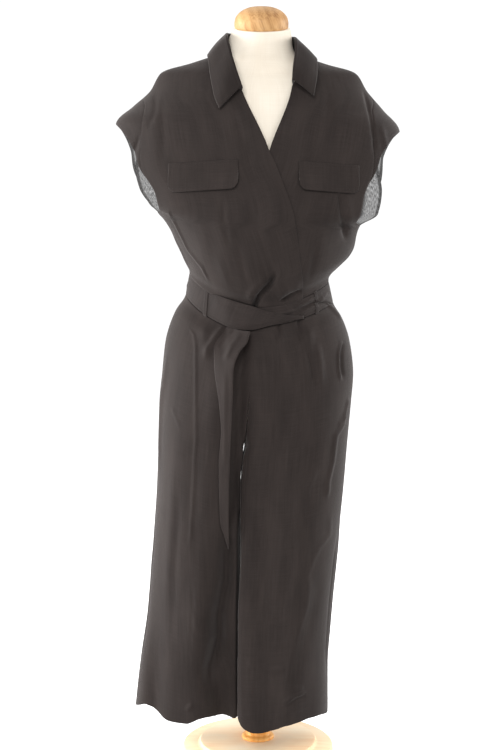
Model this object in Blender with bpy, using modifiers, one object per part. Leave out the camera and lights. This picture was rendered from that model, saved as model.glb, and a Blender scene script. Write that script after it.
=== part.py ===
"""Jumpsuit with a wrap bodice, cap sleeves, shirt collar, tie belt and wide cropped legs, on a
limbless dress form with a wooden cap, post and round base.

Metres, +Z up. The origin is the middle of the base's underside. The garment faces -Y, and the
wearer's right is -X. Run with blender --background --python part.py, or from the text editor.

A place along a surface table is a row number with a fraction, so 2.5 lies half way between rows 2
and 3. A turn round the bodice is in degrees: 0 at the wearer's left side, 90 at the front, 180 at
the right side and 270 at the back. A swing round a leg is 0 at its side seam, plus towards the
front and minus towards the back.
"""

import math

import bmesh
import bpy
import numpy as np
from mathutils import Vector

# Driving sizes

CLOTH = 0.0020  # thickness of every cloth wall
SEAM = 0.0003  # gap between two pieces at a seam, or between two layers
LAP_LIFT = 0.0026  # how far the upper front stands outside the lower one
UNDER_DROP = 0.0020  # how far the lower front sinks where the upper one covers it
LEG_SPLIT = 0.0006  # half the gap between the two legs
BELT_CLOTH = 0.0024
LOOP_WIDTH = 0.0095
LOOP_CLOTH = 0.0015
FLAP_CLOTH = 0.0024
POST_RADIUS = 0.0205
NECK_TILT = 0.27  # the neck's rim drops this much for each metre forward

PANEL_COLUMNS = 12  # columns of a trouser panel, and of a quarter turn round the waist
QUARTER = 90.0

# Bodice surface, outer face, waist seam to neck. z at the sides, front and back, then the reach
# from the axis to each side, then the fullness: 2 is an ellipse and less is pinched at the sides.

BODICE = (
    # z_right, z_left, z_front, z_back, right, left, front, back, fullness
    (1.016, 1.000, 0.960, 1.012, 0.1435, 0.1475, 0.1000, 0.1010, 2.00),
    (1.042, 1.026, 0.986, 1.038, 0.1385, 0.1432, 0.1010, 0.1010, 2.00),
    (1.060, 1.050, 1.008, 1.058, 0.1480, 0.1620, 0.1130, 0.1060, 2.00),
    (1.085, 1.076, 1.040, 1.085, 0.1580, 0.1870, 0.1220, 0.1100, 2.00),
    (1.115, 1.100, 1.082, 1.112, 0.1730, 0.1990, 0.1280, 0.1150, 2.00),
    (1.161, 1.134, 1.135, 1.150, 0.2040, 0.2090, 0.1320, 0.1200, 2.00),
    (1.185, 1.162, 1.167, 1.180, 0.2500, 0.2720, 0.1330, 0.1230, 2.00),
    (1.215, 1.198, 1.207, 1.212, 0.2800, 0.2850, 0.1320, 0.1260, 2.00),
    (1.265, 1.250, 1.265, 1.262, 0.3000, 0.2980, 0.1270, 0.1280, 2.00),
    (1.345, 1.330, 1.345, 1.340, 0.2920, 0.2900, 0.1130, 0.1220, 2.00),
    (1.380, 1.372, 1.375, 1.375, 0.2560, 0.2560, 0.1040, 0.1150, 1.90),
    (1.410, 1.410, 1.405, 1.405, 0.2220, 0.2230, 0.0920, 0.1050, 1.75),
    (1.449, 1.447, 1.440, 1.440, 0.1970, 0.1990, 0.0740, 0.0900, 1.50),
    (1.4665, 1.4645, 1.457, 1.458, 0.1400, 0.1420, 0.0635, 0.0790, 1.52),
    (1.4835, 1.4815, 1.466, 1.468, 0.0860, 0.0880, 0.0600, 0.0710, 1.85),
)
UNDERARM, CAP_FRONT, CAP_TIP, CAP_TOP, NECK = 5, 8, 9, 11, 14

# Rows that the bodice pieces are built on. The sleeves use those from CAP_FRONT to CAP_TOP.
BODICE_PLACES = (0, 1, 2, 3, 4, 5, 5.4, 6, 7, 8, 8.5, 9, 9.5, 10, 10.5, 11, 12, 13, 14)

# Angle from the side line to the armhole's edge or the sleeve's seam.
ARMHOLE = (
    # place, right front, right back, left front, left back
    (5.0, 0.0, 0.0, 0.0, 0.0),
    (5.4, 26.0, 12.0, 31.0, 7.0),
    (6.0, 36.4, 22.5, 40.5, 21.5),
    (7.0, 41.4, 26.8, 41.4, 24.2),
    (8.0, 37.8, 31.1, 38.8, 32.0),
    (9.0, 36.7, 34.0, 36.7, 34.0),
    (10.0, 25.5, 25.5, 25.5, 25.5),
    (11.0, 0.0, 0.0, 0.0, 0.0),
    (14.0, 0.0, 0.0, 0.0, 0.0),
)

# Free edge of each front, from the neck down: z, x.
UPPER_FRONT_EDGE = (
    (1.480, -0.076),
    (1.449, -0.067),
    (1.409, -0.032),
    (1.294, 0.020),
    (1.226, 0.0495),
    (1.162, 0.071),
    (1.097, 0.080),
    (1.023, 0.0885),
    (0.950, 0.0898),
)
LOWER_FRONT_EDGE = (
    (1.480, 0.083),
    (1.449, 0.079),
    (1.420, 0.067),
    (1.294, 0.022),
    (1.226, -0.008),
    (1.162, -0.032),
    (1.097, -0.047),
    (1.023, -0.054),
    (0.950, -0.0549),
)
UPPER_FRONT_END = 52.5  # turn of the upper front's free edge at the waist seam
LOWER_FRONT_END = 112.5
LAP_COLUMNS = 3  # columns over which the upper front rises to LAP_LIFT

# Soft folds of the bodice's front: x and z of the top, x and z of the bottom, height, half width.
BODICE_FOLDS = (
    (-0.074, 1.200, -0.060, 1.030, 0.006, 0.020),
    (0.034, 1.085, 0.000, 0.985, -0.006, 0.016),
    (0.050, 1.080, 0.045, 0.985, 0.004, 0.020),
    (0.165, 1.210, 0.185, 1.080, -0.007, 0.014),
    (-0.120, 1.180, -0.105, 1.040, 0.005, 0.018),
    (0.130, 1.160, 0.120, 1.040, 0.005, 0.022),
)

# Trouser legs, outer face, waist seam to hem. z at the side seam, front and back, then x of the
# side seam and of the centre, the angle left out at the centre, reach to the front and back, and
# y of the side seam.

RIGHT_LEG = (
    # z_side, z_front, z_back, side, centre, end, front, back, middle
    (1.016, 0.960, 1.012, -0.1435, 0.0000, 90.0, 0.1000, 0.1010, 0.000),
    (0.988, 0.934, 0.986, -0.1465, -0.0020, 90.0, 0.1020, 0.1030, 0.000),
    (0.960, 0.905, 0.955, -0.1725, -0.0060, 90.0, 0.1170, 0.1170, 0.000),
    (0.900, 0.865, 0.900, -0.1930, -0.0120, 90.0, 0.1270, 0.1300, 0.000),
    (0.830, 0.815, 0.832, -0.2010, -0.0170, 90.0, 0.1300, 0.1370, 0.000),
    (0.772, 0.770, 0.772, -0.2070, -0.0210, 70.0, 0.1290, 0.1340, 0.000),
    (0.725, 0.725, 0.725, -0.2085, -0.0245, 35.0, 0.1270, 0.1280, 0.000),
    (0.690, 0.690, 0.690, -0.2095, -0.0285, 0.0, 0.1250, 0.1220, 0.000),
    (0.600, 0.600, 0.600, -0.2130, -0.0370, 0.0, 0.1210, 0.1150, 0.000),
    (0.444, 0.444, 0.444, -0.2250, -0.0375, 0.0, 0.1120, 0.1060, -0.003),
    (0.327, 0.326, 0.327, -0.2350, -0.0385, 0.0, 0.1040, 0.1000, -0.006),
    (0.218, 0.216, 0.218, -0.2510, -0.0390, 0.0, 0.0960, 0.0940, -0.008),
    (0.114, 0.102, 0.110, -0.2630, -0.0390, 0.0, 0.0880, 0.0880, -0.008),
)
LEFT_LEG = (
    (1.000, 0.960, 1.012, 0.1475, 0.0000, 90.0, 0.1000, 0.1010, 0.000),
    (0.972, 0.934, 0.986, 0.1525, -0.0020, 90.0, 0.1020, 0.1030, 0.000),
    (0.945, 0.905, 0.955, 0.1750, -0.0060, 90.0, 0.1170, 0.1170, 0.000),
    (0.897, 0.865, 0.900, 0.1910, -0.0120, 90.0, 0.1270, 0.1300, 0.000),
    (0.830, 0.815, 0.832, 0.1990, -0.0170, 90.0, 0.1300, 0.1370, 0.000),
    (0.772, 0.770, 0.772, 0.1950, -0.0210, 70.0, 0.1300, 0.1340, 0.000),
    (0.725, 0.725, 0.725, 0.1910, -0.0240, 35.0, 0.1300, 0.1270, 0.000),
    (0.690, 0.690, 0.690, 0.1880, -0.0255, 0.0, 0.1310, 0.1200, 0.000),
    (0.600, 0.600, 0.600, 0.1810, -0.0360, 0.0, 0.1330, 0.1110, -0.003),
    (0.444, 0.444, 0.444, 0.1660, -0.0375, 0.0, 0.1340, 0.1020, -0.008),
    (0.327, 0.325, 0.327, 0.1550, -0.0385, 0.0, 0.1300, 0.0960, -0.014),
    (0.218, 0.214, 0.218, 0.1490, -0.0390, 0.0, 0.1230, 0.0920, -0.022),
    (0.105, 0.099, 0.105, 0.1490, -0.0390, 0.0, 0.1120, 0.0890, -0.032),
)
LEG_PLACES = (0, 1, 2, 3, 4, 5, 5.5, 6, 6.5, 7, 7.5, 8, 8.5, 9, 10, 11, 12)
SIDE_FULLNESS = 2.2  # of a leg's outer half
INNER_FULLNESS = 3.4  # of its inner half, which lies nearly flat against the other leg

# Folds of the legs' fronts and backs: x and z at the top, x and z at the bottom, height and half
# width at the bottom. A fold grows from nothing at its top.
FRONT_FOLDS = (
    (-0.128, 0.930, -0.152, 0.100, 0.024, 0.032),
    (-0.100, 0.620, -0.080, 0.100, -0.024, 0.024),
    (-0.205, 0.560, -0.218, 0.100, -0.012, 0.022),
    (0.020, 0.700, -0.004, 0.090, 0.014, 0.034),
    (0.122, 0.800, 0.062, 0.100, 0.009, 0.028),
    (0.150, 0.700, 0.104, 0.100, -0.010, 0.022),
)
BACK_FOLDS = (
    (-0.110, 0.900, -0.140, 0.100, 0.018, 0.032),
    (-0.180, 0.640, -0.205, 0.100, -0.012, 0.024),
    (-0.070, 0.600, -0.075, 0.100, -0.012, 0.024),
    (0.100, 0.900, 0.085, 0.100, 0.018, 0.032),
    (0.160, 0.640, 0.125, 0.100, -0.010, 0.022),
)
# Gathers under the belt: x, height and half width. They fade out towards the hip.
GATHERS = (
    (-0.110, 0.004, 0.012),
    (-0.072, -0.004, 0.009),
    (0.044, 0.005, 0.010),
    (0.074, -0.005, 0.009),
    (0.104, 0.004, 0.010),
)
GATHER_TOP, GATHER_BOTTOM = 0.940, 0.830
BELTED_Z = 0.945  # the front lies plain under the belt, down to here

# Chest flaps: x of the inner and outer edge, z of the top there, and the flap's depth.
FLAPS = {
    "pocket_flap_right": (-0.040, -0.179, 1.275, 1.266, 0.057, LAP_LIFT),
    "pocket_flap_left": (0.080, 0.201, 1.272, 1.262, 0.056, 0.0),
}
FLAP_CORNER = 0.016
FLAP_COLUMNS, FLAP_ROWS = 10, 4

# Collar from the right front round the back of the neck to the left front. Each row gives the
# seam on the neck, the roll line and the outer edge of the fall.
COLLAR = (
    # seam x, y, z, roll x, y, z, edge x, y, z
    (-0.033, -0.093, 1.409, -0.031, -0.099, 1.416, -0.078, -0.112, 1.374),
    (-0.051, -0.080, 1.438, -0.044, -0.088, 1.454, -0.087, -0.099, 1.394),
    (-0.068, -0.058, 1.461, -0.055, -0.066, 1.492, -0.096, -0.074, 1.434),
    (-0.077, -0.030, 1.4800, -0.063, -0.036, 1.519, -0.103, -0.036, 1.478),
    (-0.0852, 0.008, 1.4850, -0.066, 0.012, 1.527, -0.105, 0.014, 1.484),
    (-0.070, 0.046, 1.482, -0.056, 0.052, 1.530, -0.088, 0.068, 1.470),
    (-0.036, 0.067, 1.476, -0.030, 0.071, 1.532, -0.046, 0.095, 1.452),
    (0.002, 0.074, 1.474, 0.002, 0.078, 1.532, 0.002, 0.103, 1.446),
    (0.040, 0.067, 1.476, 0.036, 0.071, 1.529, 0.050, 0.095, 1.450),
    (0.073, 0.046, 1.482, 0.062, 0.052, 1.525, 0.094, 0.068, 1.466),
    (0.0878, 0.008, 1.4830, 0.072, 0.012, 1.520, 0.114, 0.014, 1.4800),
    (0.081, -0.030, 1.4780, 0.073, -0.036, 1.510, 0.119, -0.038, 1.4735),
    (0.079, -0.060, 1.460, 0.072, -0.068, 1.486, 0.118, -0.070, 1.443),
    (0.073, -0.080, 1.438, 0.068, -0.090, 1.456, 0.113, -0.090, 1.414),
    (0.068, -0.091, 1.421, 0.066, -0.099, 1.429, 0.110, -0.097, 1.399),
)
ROLL_WIDTH = 0.0075  # across the fold at the top of the collar
COLLAR_STEPS = 2  # mesh columns for each row of the table
COLLAR_PLACES = (0.0, 0.5, 0.88, 1.0, 1.12, 1.55, 2.0)  # seam 0, roll 1, edge 2

# The belt is one strip. It starts under its own wrapped front, runs round the left side, the back
# and the right side, and crosses the front to a point. Heights are over the waist seam, and lifts
# are of the outer face.
BELT = (
    # turn, top, bottom, lift at the top, lift at the bottom, bulge between
    (104.0, 0.0170, -0.0190, 0.0062, 0.0066, 0.0000),
    (60.0, 0.0180, -0.0200, 0.0060, 0.0066, 0.0006),
    (30.0, 0.0195, -0.0200, 0.0040, 0.0072, 0.0003),
    (0.0, 0.0200, -0.0200, 0.0016, 0.0076, 0.0000),
    (-30.0, 0.0220, -0.0220, 0.0032, 0.0072, 0.0000),
    (-90.0, 0.0235, -0.0235, 0.0052, 0.0060, 0.0000),
    (-150.0, 0.0225, -0.0215, 0.0030, 0.0068, 0.0000),
    (-165.0, 0.0216, -0.0205, 0.0014, 0.0070, 0.0000),
    (-180.0, 0.0212, -0.0200, -0.0002, 0.0072, 0.0000),
    (-196.0, 0.0206, -0.0230, 0.0034, 0.0078, 0.0000),
    (-212.0, 0.0195, -0.0268, 0.0046, 0.0078, 0.0000),
    (-227.5, 0.0174, -0.0296, 0.0062, 0.0080, 0.0004),
    (-237.0, 0.0235, -0.0305, 0.0080, 0.0090, 0.0020),
    (-247.5, 0.0248, -0.0312, 0.0100, 0.0104, 0.0030),
    (-262.0, 0.0219, -0.0291, 0.0106, 0.0106, 0.0030),
    (-281.0, 0.0066, -0.0194, 0.0108, 0.0106, 0.0020),
    (-294.0, -0.0046, -0.0166, 0.0108, 0.0106, 0.0012),
    (-306.6, -0.0142, -0.0212, 0.0106, 0.0104, 0.0000),
)
BELT_PARTS = (0.0, 0.3, 0.7, 1.0)  # rows across the belt, from its lower edge
LOOP_TURNS = (-223.2, 38.0, -134.0, -42.0)
LOOP_REACH = 0.0036  # of a loop, past each edge of the belt

# The hanging end: z, x of the left and right edge. It lies on the right front panel.
TAIL = (
    (0.934, -0.0620, -0.0160),
    (0.913, -0.0900, -0.0220),
    (0.890, -0.1030, -0.0385),
    (0.855, -0.1020, -0.0500),
    (0.790, -0.0800, -0.0520),
    (0.730, -0.0757, -0.0550),
    (0.660, -0.0805, -0.0580),
    (0.546, -0.0785, -0.0605),
    (0.510, -0.0700, -0.0605),
    (0.484, -0.0625, -0.0600),
)
TAIL_LIFT = 0.0050

# Dress form, waist of the hips to the top of the neck: z, side, front and back reach, fullness.
FORM = (
    (0.745, 0.150, 0.094, 0.100, 2.20),
    (0.757, 0.160, 0.102, 0.110, 2.20),
    (0.820, 0.170, 0.108, 0.120, 2.20),
    (0.880, 0.166, 0.106, 0.116, 2.20),
    (0.940, 0.145, 0.092, 0.100, 2.15),
    (0.990, 0.124, 0.086, 0.088, 2.10),
    (1.030, 0.118, 0.086, 0.086, 2.10),
    (1.100, 0.128, 0.098, 0.092, 2.10),
    (1.170, 0.143, 0.112, 0.100, 2.15),
    (1.220, 0.151, 0.117, 0.105, 2.20),
    (1.300, 0.160, 0.104, 0.110, 2.20),
    (1.370, 0.176, 0.086, 0.104, 2.10),
    (1.410, 0.186, 0.072, 0.092, 1.95),
    (1.434, 0.190, 0.060, 0.078, 1.70),
    (1.4490, 0.1835, 0.052, 0.068, 1.50),
    (1.4610, 0.1435, 0.047, 0.064, 1.50),
    (1.4725, 0.0910, 0.043, 0.058, 1.68),
    (1.4860, 0.0720, 0.053, 0.058, 1.95),
    (1.5020, 0.0640, 0.055, 0.057, 2.00),
    (1.5170, 0.0605, 0.056, 0.056, 2.00),
    (1.5310, 0.0580, 0.056, 0.056, 2.00),
)
FORM_SECTORS = 26
NECK_TILT_FROM = 1.486
NECK_SHIFT = 0.004  # the neck stands this far to the wearer's left

# Turned profiles, radius and height, from the outer foot upwards.
BASE_PROFILE = ((0.158, 0.0), (0.162, 0.004), (0.162, 0.016), (0.158, 0.021), (0.131, 0.0225),
                (0.126, 0.025), (0.125, 0.029), (0.120, 0.032), (0.0, 0.033))
COLLAR_PROFILE = ((0.034, 0.0), (0.0345, 0.004), (0.030, 0.008), (0.026, 0.011), (0.0265, 0.020),
                  (0.023, 0.022), (0.0, 0.022))
CAP_PROFILE = ((0.0500, 0.0), (0.0540, 0.006), (0.0550, 0.014), (0.0530, 0.024), (0.0470, 0.034),
               (0.0360, 0.0425), (0.0200, 0.0480), (0.0, 0.0495))
TURNED_STEPS = 28

CLOTH_COLOUR = (0.045, 0.037, 0.035)
LINEN_COLOUR = (0.86, 0.79, 0.68)
CAP_COLOUR = (0.58, 0.31, 0.11)
POST_COLOUR = (0.45, 0.16, 0.05)
BASE_COLOUR = (0.82, 0.60, 0.38)


# Surfaces


def between(rows, place):
    """The row at a place, with fractions smooth between rows and no overshoot."""
    rows = np.asarray(rows, float)
    low = min(int(place), len(rows) - 2)
    part = place - low
    steps = np.diff(rows, axis=0)

    def slope(index):
        before = steps[max(index - 1, 0)]
        after = steps[min(index, len(steps) - 1)]
        agree = before * after > 0
        total = np.where(agree, before + after, 1.0)
        return np.where(agree, 2 * before * after / total, 0.0)

    square, cube = part * part, part**3
    return (
        rows[low] * (2 * cube - 3 * square + 1)
        + rows[low + 1] * (3 * square - 2 * cube)
        + slope(low) * (cube - 2 * square + part)
        + slope(low + 1) * (cube - square)
    )


def at_key(table, key):
    """A row of a table whose first column rises or falls, at any value of that column."""
    keys = [row[0] for row in table]
    order = 1 if keys[-1] > keys[0] else -1
    place = np.interp(key * order, np.array(keys) * order, range(len(keys)))
    return between(table, float(place))


def power(value, fullness):
    return math.copysign(abs(value) ** (2.0 / fullness), value)


def ease(part):
    part = min(max(part, 0.0), 1.0)
    return part * part * (3 - 2 * part)


def fold_height(folds, x, z):
    """How far folds push the front out at this place. Each runs from its top to its bottom."""
    total = 0.0
    for top_x, top_z, bottom_x, bottom_z, height, half_width in folds:
        along = (top_z - z) / (top_z - bottom_z)
        centre = top_x + (bottom_x - top_x) * along
        total += height * ease(along) * math.exp(-(((x - centre) / half_width) ** 2))
    return total


def short_fold_height(folds, x, z):
    """Folds that swell in their middle and fade at both ends."""
    total = 0.0
    for top_x, top_z, bottom_x, bottom_z, height, half_width in folds:
        along = (top_z - z) / (top_z - bottom_z)
        if 0 < along < 1:
            centre = top_x + (bottom_x - top_x) * along
            swell = math.sin(math.pi * along) ** 1.5
            total += height * swell * math.exp(-(((x - centre) / half_width) ** 2))
    return total


def gather_height(x, z):
    grow = ease((BELTED_Z - z) / (BELTED_Z - GATHER_TOP + 0.02))
    fade = ease((z - GATHER_BOTTOM) / (GATHER_TOP - GATHER_BOTTOM))
    waves = (h * math.exp(-(((x - c) / w) ** 2)) for c, h, w in GATHERS)
    return grow * fade * sum(waves)


def bodice(place, turn):
    row = between(BODICE, place)
    z_right, z_left, z_front, z_back, right, left, front, back, fullness = row
    cos, sin = math.cos(math.radians(turn)), math.sin(math.radians(turn))
    side, z_side = (left, z_left) if cos > 0 else (right, z_right)
    depth, z_middle = (front, z_front) if sin > 0 else (back, z_back)
    x = side * power(cos, fullness)
    y = -depth * power(sin, fullness)
    z = z_middle + (z_side - z_middle) * cos * cos
    if sin > 0:
        y -= short_fold_height(BODICE_FOLDS, x, z) * ease(2 * sin)
    return Vector((x, y, z))


def leg(table, place, swing):
    row = between(table, place)
    z_side, z_front, z_back, side, centre, end, front, back, middle = row
    split = LEG_SPLIT * ease(place - 4)
    inner = centre + math.copysign(split, side)
    fullness = SIDE_FULLNESS if abs(swing) < QUARTER else INNER_FULLNESS
    fullness = 2.0 + (fullness - 2.0) * ease(place / 3)
    reach = (inner - side) / (1 + power(math.cos(math.radians(end)), fullness_inner(place)))
    cos, sin = math.cos(math.radians(swing)), math.sin(math.radians(swing))
    x = side + reach - reach * power(cos, fullness)
    if sin >= 0:
        y = middle - front * power(sin, fullness)
        z = z_side + (z_front - z_side) * sin * sin
        y -= (fold_height(FRONT_FOLDS, x, z) + gather_height(x, z)) * ease(1.5 * sin)
    else:
        y = middle - back * power(sin, fullness)
        z = z_side + (z_back - z_side) * sin * sin
        y += fold_height(BACK_FOLDS, x, z) * ease(-1.5 * sin)
    return Vector((x, y, z))


def fullness_inner(place):
    return 2.0 + (INNER_FULLNESS - 2.0) * ease(place / 3)


def right_leg(place, swing):
    return leg(RIGHT_LEG, place, swing)


def left_leg(place, swing):
    return leg(LEFT_LEG, place, swing)


def outward(surface, place, angle, last, hand):
    """Unit normal of a surface, the same for every piece that shares the surface."""
    step, turn_step = 0.02, 0.5
    low, high = max(place - step, 0.0), min(place + step, last)
    along = surface(high, angle) - surface(low, angle)
    around = surface(place, angle + turn_step) - surface(place, angle - turn_step)
    normal = around.cross(along) * hand
    return normal.normalized()


# Building


def paint(part, colour, roughness, metallic=0.0):
    material = bpy.data.materials.new(part.name)
    material.use_nodes = True
    shader = material.node_tree.nodes["Principled BSDF"]
    shader.inputs["Base Color"].default_value = (*colour, 1.0)
    shader.inputs["Roughness"].default_value = roughness
    shader.inputs["Metallic"].default_value = metallic
    material.diffuse_color = (*colour, 1.0)
    part.data.materials.append(material)


def add_part(name, bm, parts):
    bmesh.ops.recalc_face_normals(bm, faces=bm.faces[:])
    if bm.calc_volume(signed=True) < 0:
        bmesh.ops.reverse_faces(bm, faces=bm.faces[:])
    mesh = bpy.data.meshes.new(name)
    bm.to_mesh(mesh)
    bm.free()
    mesh.shade_smooth()
    mesh.set_sharp_from_angle(angle=math.radians(40))
    part = bpy.data.objects.new(name, mesh)
    parts.objects.link(part)
    return part


def trim_edges(points, gaps):
    """Draws the first and last row and column in, along the sheet, where a seam lies there."""
    first_row, last_row, first_column, last_column = gaps
    for row in points:
        if first_column:
            row[0] = row[0] + (row[1] - row[0]).normalized() * first_column
        if last_column:
            row[-1] = row[-1] + (row[-2] - row[-1]).normalized() * last_column
    if first_row:
        for a, b in zip(points[0], points[1]):
            a += (b - a).normalized() * first_row
    if last_row:
        for a, b in zip(points[-1], points[-2]):
            a += (b - a).normalized() * last_row


def wall(name, outer, inner, parts, gaps=(0, 0, 0, 0)):
    """A cloth wall between two grids of points, given row by row."""
    trim_edges(outer, gaps)
    trim_edges(inner, gaps)
    rows, columns = len(outer) - 1, len(outer[0]) - 1
    bm = bmesh.new()
    bmesh.ops.create_grid(bm, x_segments=columns, y_segments=rows, size=0.5)

    def spot(vert):
        return round((vert.co.y + 0.5) * rows), round((vert.co.x + 0.5) * columns)

    grown = bmesh.ops.extrude_face_region(bm, geom=bm.faces[:])["geom"]
    inside = {item for item in grown if isinstance(item, bmesh.types.BMVert)}
    for vert in bm.verts:
        row, column = spot(vert)
        vert.co = (inner if vert in inside else outer)[row][column]
    part = add_part(name, bm, parts)
    paint(part, CLOTH_COLOUR, 0.85)
    return part


def surface_wall(name, spots, surface, last, hand, parts, gaps, lift=None, thick=CLOTH):
    """A wall on a surface. spots holds (place, angle) row by row, and lift a height for each."""
    outer, inner = [], []
    for row, line in enumerate(spots):
        outer.append([])
        inner.append([])
        for column, (place, angle) in enumerate(line):
            point = surface(place, angle)
            normal = outward(surface, place, angle, last, hand)
            height = lift(row, column) if lift else 0.0
            outer[-1].append(point + normal * height)
            inner[-1].append(point + normal * (height - thick))
    return wall(name, outer, inner, parts, gaps)


def armhole_angle(place, is_left, is_back):
    if place <= UNDERARM:
        return 0.0
    return max(float(at_key(ARMHOLE, place)[1 + 2 * is_left + is_back]), 0.0)


def edge_turn(place, edge, low, high):
    """Turn at which a bodice row meets a front's free edge."""
    for _ in range(40):
        middle = (low + high) / 2
        point = bodice(place, middle)
        if point.x > at_key(edge, point.z)[1]:
            low = middle
        else:
            high = middle
    return (low + high) / 2


def spread(first, last, count):
    return [first + (last - first) * step / count for step in range(count + 1)]


def build_bodice(parts):
    last = len(BODICE) - 1
    columns_upper = round((180 - UPPER_FRONT_END) / (QUARTER / PANEL_COLUMNS))
    columns_lower = round(LOWER_FRONT_END / (QUARTER / PANEL_COLUMNS))
    upper, lower, back, upper_ends = [], [], [], []
    for place in BODICE_PLACES:
        right = armhole_angle(place, is_left=False, is_back=False)
        left = armhole_angle(place, is_left=True, is_back=False)
        rear_right = armhole_angle(place, is_left=False, is_back=True)
        rear_left = armhole_angle(place, is_left=True, is_back=True)
        if place == 0:
            upper_end, lower_end = UPPER_FRONT_END, LOWER_FRONT_END
        else:
            upper_end = edge_turn(place, UPPER_FRONT_EDGE, 0.0, 180.0)
            lower_end = edge_turn(place, LOWER_FRONT_EDGE, 0.0, 180.0)
        upper_ends.append(upper_end)
        upper.append([(place, turn) for turn in spread(180 - right, upper_end, columns_upper)])
        lower.append([(place, turn) for turn in spread(left, lower_end, columns_lower)])
        turns = spread(180 + rear_right, 360 - rear_left, 2 * PANEL_COLUMNS)
        back.append([(place, turn) for turn in turns])

    def lap(row, column):
        return LAP_LIFT * ease(column / LAP_COLUMNS) * ease((CAP_TOP + 1 - BODICE_PLACES[row]) / 3)

    def sink(row, column):
        return -UNDER_DROP * ease((lower[row][column][1] - upper_ends[row]) / 12)

    half = SEAM / 2
    surface_wall("bodice_front_right", upper, bodice, last, -1, parts, (half, 0, half, 0), lap)
    surface_wall("bodice_front_left", lower, bodice, last, -1, parts, (half, 0, half, 0), sink)
    surface_wall("bodice_back", back, bodice, last, -1, parts, (half, 0, half, half))


def build_sleeve(name, is_left, parts):
    """A crescent on the bodice's surface, from the armhole seam out to the sleeve's hem."""
    last = len(BODICE) - 1
    stations = [place for place in BODICE_PLACES if CAP_FRONT <= place <= CAP_TOP]
    path = [(place, False) for place in stations] + [(place, True) for place in stations[-2::-1]]
    across = 4
    least = 0.06  # the crescent's width at its ends, in rows
    spots = []
    for place, is_back in path:
        seam_angle = armhole_angle(place, is_left, is_back)
        along = (place - CAP_FRONT) / (CAP_TOP - CAP_FRONT)
        hem_place = CAP_FRONT - least + (CAP_TIP - CAP_FRONT + least) * along**0.8
        start = armhole_angle(CAP_FRONT, is_left, is_back)
        hem_angle = start * (1 - 0.06 * (1 - along)) * (1 - along**1.5) ** 0.6
        line = []
        for part in spread(0.0, 1.0, across):
            angle = seam_angle + (hem_angle - seam_angle) * part
            at = place + (hem_place - place) * part
            turn = (-angle if is_back else angle) if is_left else 180 + (angle if is_back else -angle)
            line.append((at, turn))
        spots.append(line)
    gaps = (0, 0, 3 * SEAM, 0)
    surface_wall(name, spots, bodice, last, -1, parts, gaps)


def leg_swings(surface, place, reach):
    """Swings of a panel's columns: even angles at the waist seam, even lengths further down."""
    swings = np.linspace(0, reach, 10 * PANEL_COLUMNS + 1)
    points = np.array([surface(place, swing) for swing in swings])
    steps = np.linalg.norm(np.diff(points, axis=0), axis=1)
    along = np.concatenate([[0.0], np.cumsum(steps)])
    even = np.interp(np.linspace(0, along[-1], PANEL_COLUMNS + 1), along, swings)
    plain = np.linspace(0, reach, PANEL_COLUMNS + 1)
    return plain + (even - plain) * ease(place / 2)


def build_trousers(parts):
    half = SEAM / 2
    for side, surface, table, hand in (
        ("right", right_leg, RIGHT_LEG, -1),
        ("left", left_leg, LEFT_LEG, 1),
    ):
        for face, sign in (("front", 1), ("back", -1)):
            spots = []
            for place in LEG_PLACES:
                reach = 180 - between(table, place)[5]
                spots.append([(place, swing) for swing in leg_swings(surface, place, sign * reach)])
            name = f"trouser_{face}_{side}"
            gaps = (half, 0, half, half)
            surface_wall(name, spots, surface, len(table) - 1, hand, parts, gaps)


def on_front(x, z, lift):
    """The point of the bodice's front surface at x and z, moved out by lift."""
    low, high = 0.0, float(len(BODICE) - 1)
    for _ in range(30):
        place = (low + high) / 2
        row = between(BODICE, place)
        reach = row[5] if x > 0 else row[4]
        part = min(abs(x) / reach, 1.0)
        angle = math.degrees(math.acos(part ** (row[8] / 2)))
        turn = angle if x > 0 else 180 - angle
        if bodice(place, turn).z < z:
            low = place
        else:
            high = place
    normal = outward(bodice, place, turn, len(BODICE) - 1, -1)
    return bodice(place, turn) + normal * lift


def build_flap(name, parts):
    inner_x, outer_x, inner_z, outer_z, depth, lap = FLAPS[name]
    width = abs(outer_x - inner_x)
    outer, inner = [], []
    for row in range(FLAP_ROWS + 1):
        down = row / FLAP_ROWS
        outer.append([])
        inner.append([])
        for part in spread(0.0, 1.0, FLAP_COLUMNS):
            x = inner_x + (outer_x - inner_x) * part
            from_end = min(part, 1 - part) * width
            bite = 0.0
            if from_end < FLAP_CORNER:
                run = FLAP_CORNER - from_end
                bite = FLAP_CORNER - math.sqrt(FLAP_CORNER**2 - run**2)
            z = inner_z + (outer_z - inner_z) * part - (depth - bite) * down
            low = lap + SEAM
            outer[-1].append(on_front(x, z, low + FLAP_CLOTH))
            inner[-1].append(on_front(x, z, low))
    wall(name, outer, inner, parts)


def build_collar(parts):
    last = len(COLLAR) - 1
    rows = []
    for place in spread(0.0, last, last * COLLAR_STEPS):
        row = between(COLLAR, place)
        seam, roll, edge = Vector(row[0:3]), Vector(row[3:6]), Vector(row[6:9])
        rows.append([across_collar(seam, roll, edge, at) for at in COLLAR_PLACES])
    inner = []
    for index, row in enumerate(rows):
        before, after = rows[max(index - 1, 0)], rows[min(index + 1, len(rows) - 1)]
        inner.append([])
        for column, point in enumerate(row):
            along = after[column] - before[column]
            across = row[min(column + 1, len(row) - 1)] - row[max(column - 1, 0)]
            normal = along.cross(across).normalized()
            inner[-1].append(point - normal * CLOTH)
    wall("collar", rows, inner, parts)


def across_collar(seam, roll, edge, at):
    """Up the stand, over the roll in a small arch, and down the fall."""
    away = Vector((edge.x - roll.x, edge.y - roll.y, 0)).normalized() * ROLL_WIDTH
    if at < 1:
        return seam + (roll - seam) * at
    if at == 1:
        return roll + away * 0.5
    return roll + away + (edge - roll - away) * (at - 1)


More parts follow.
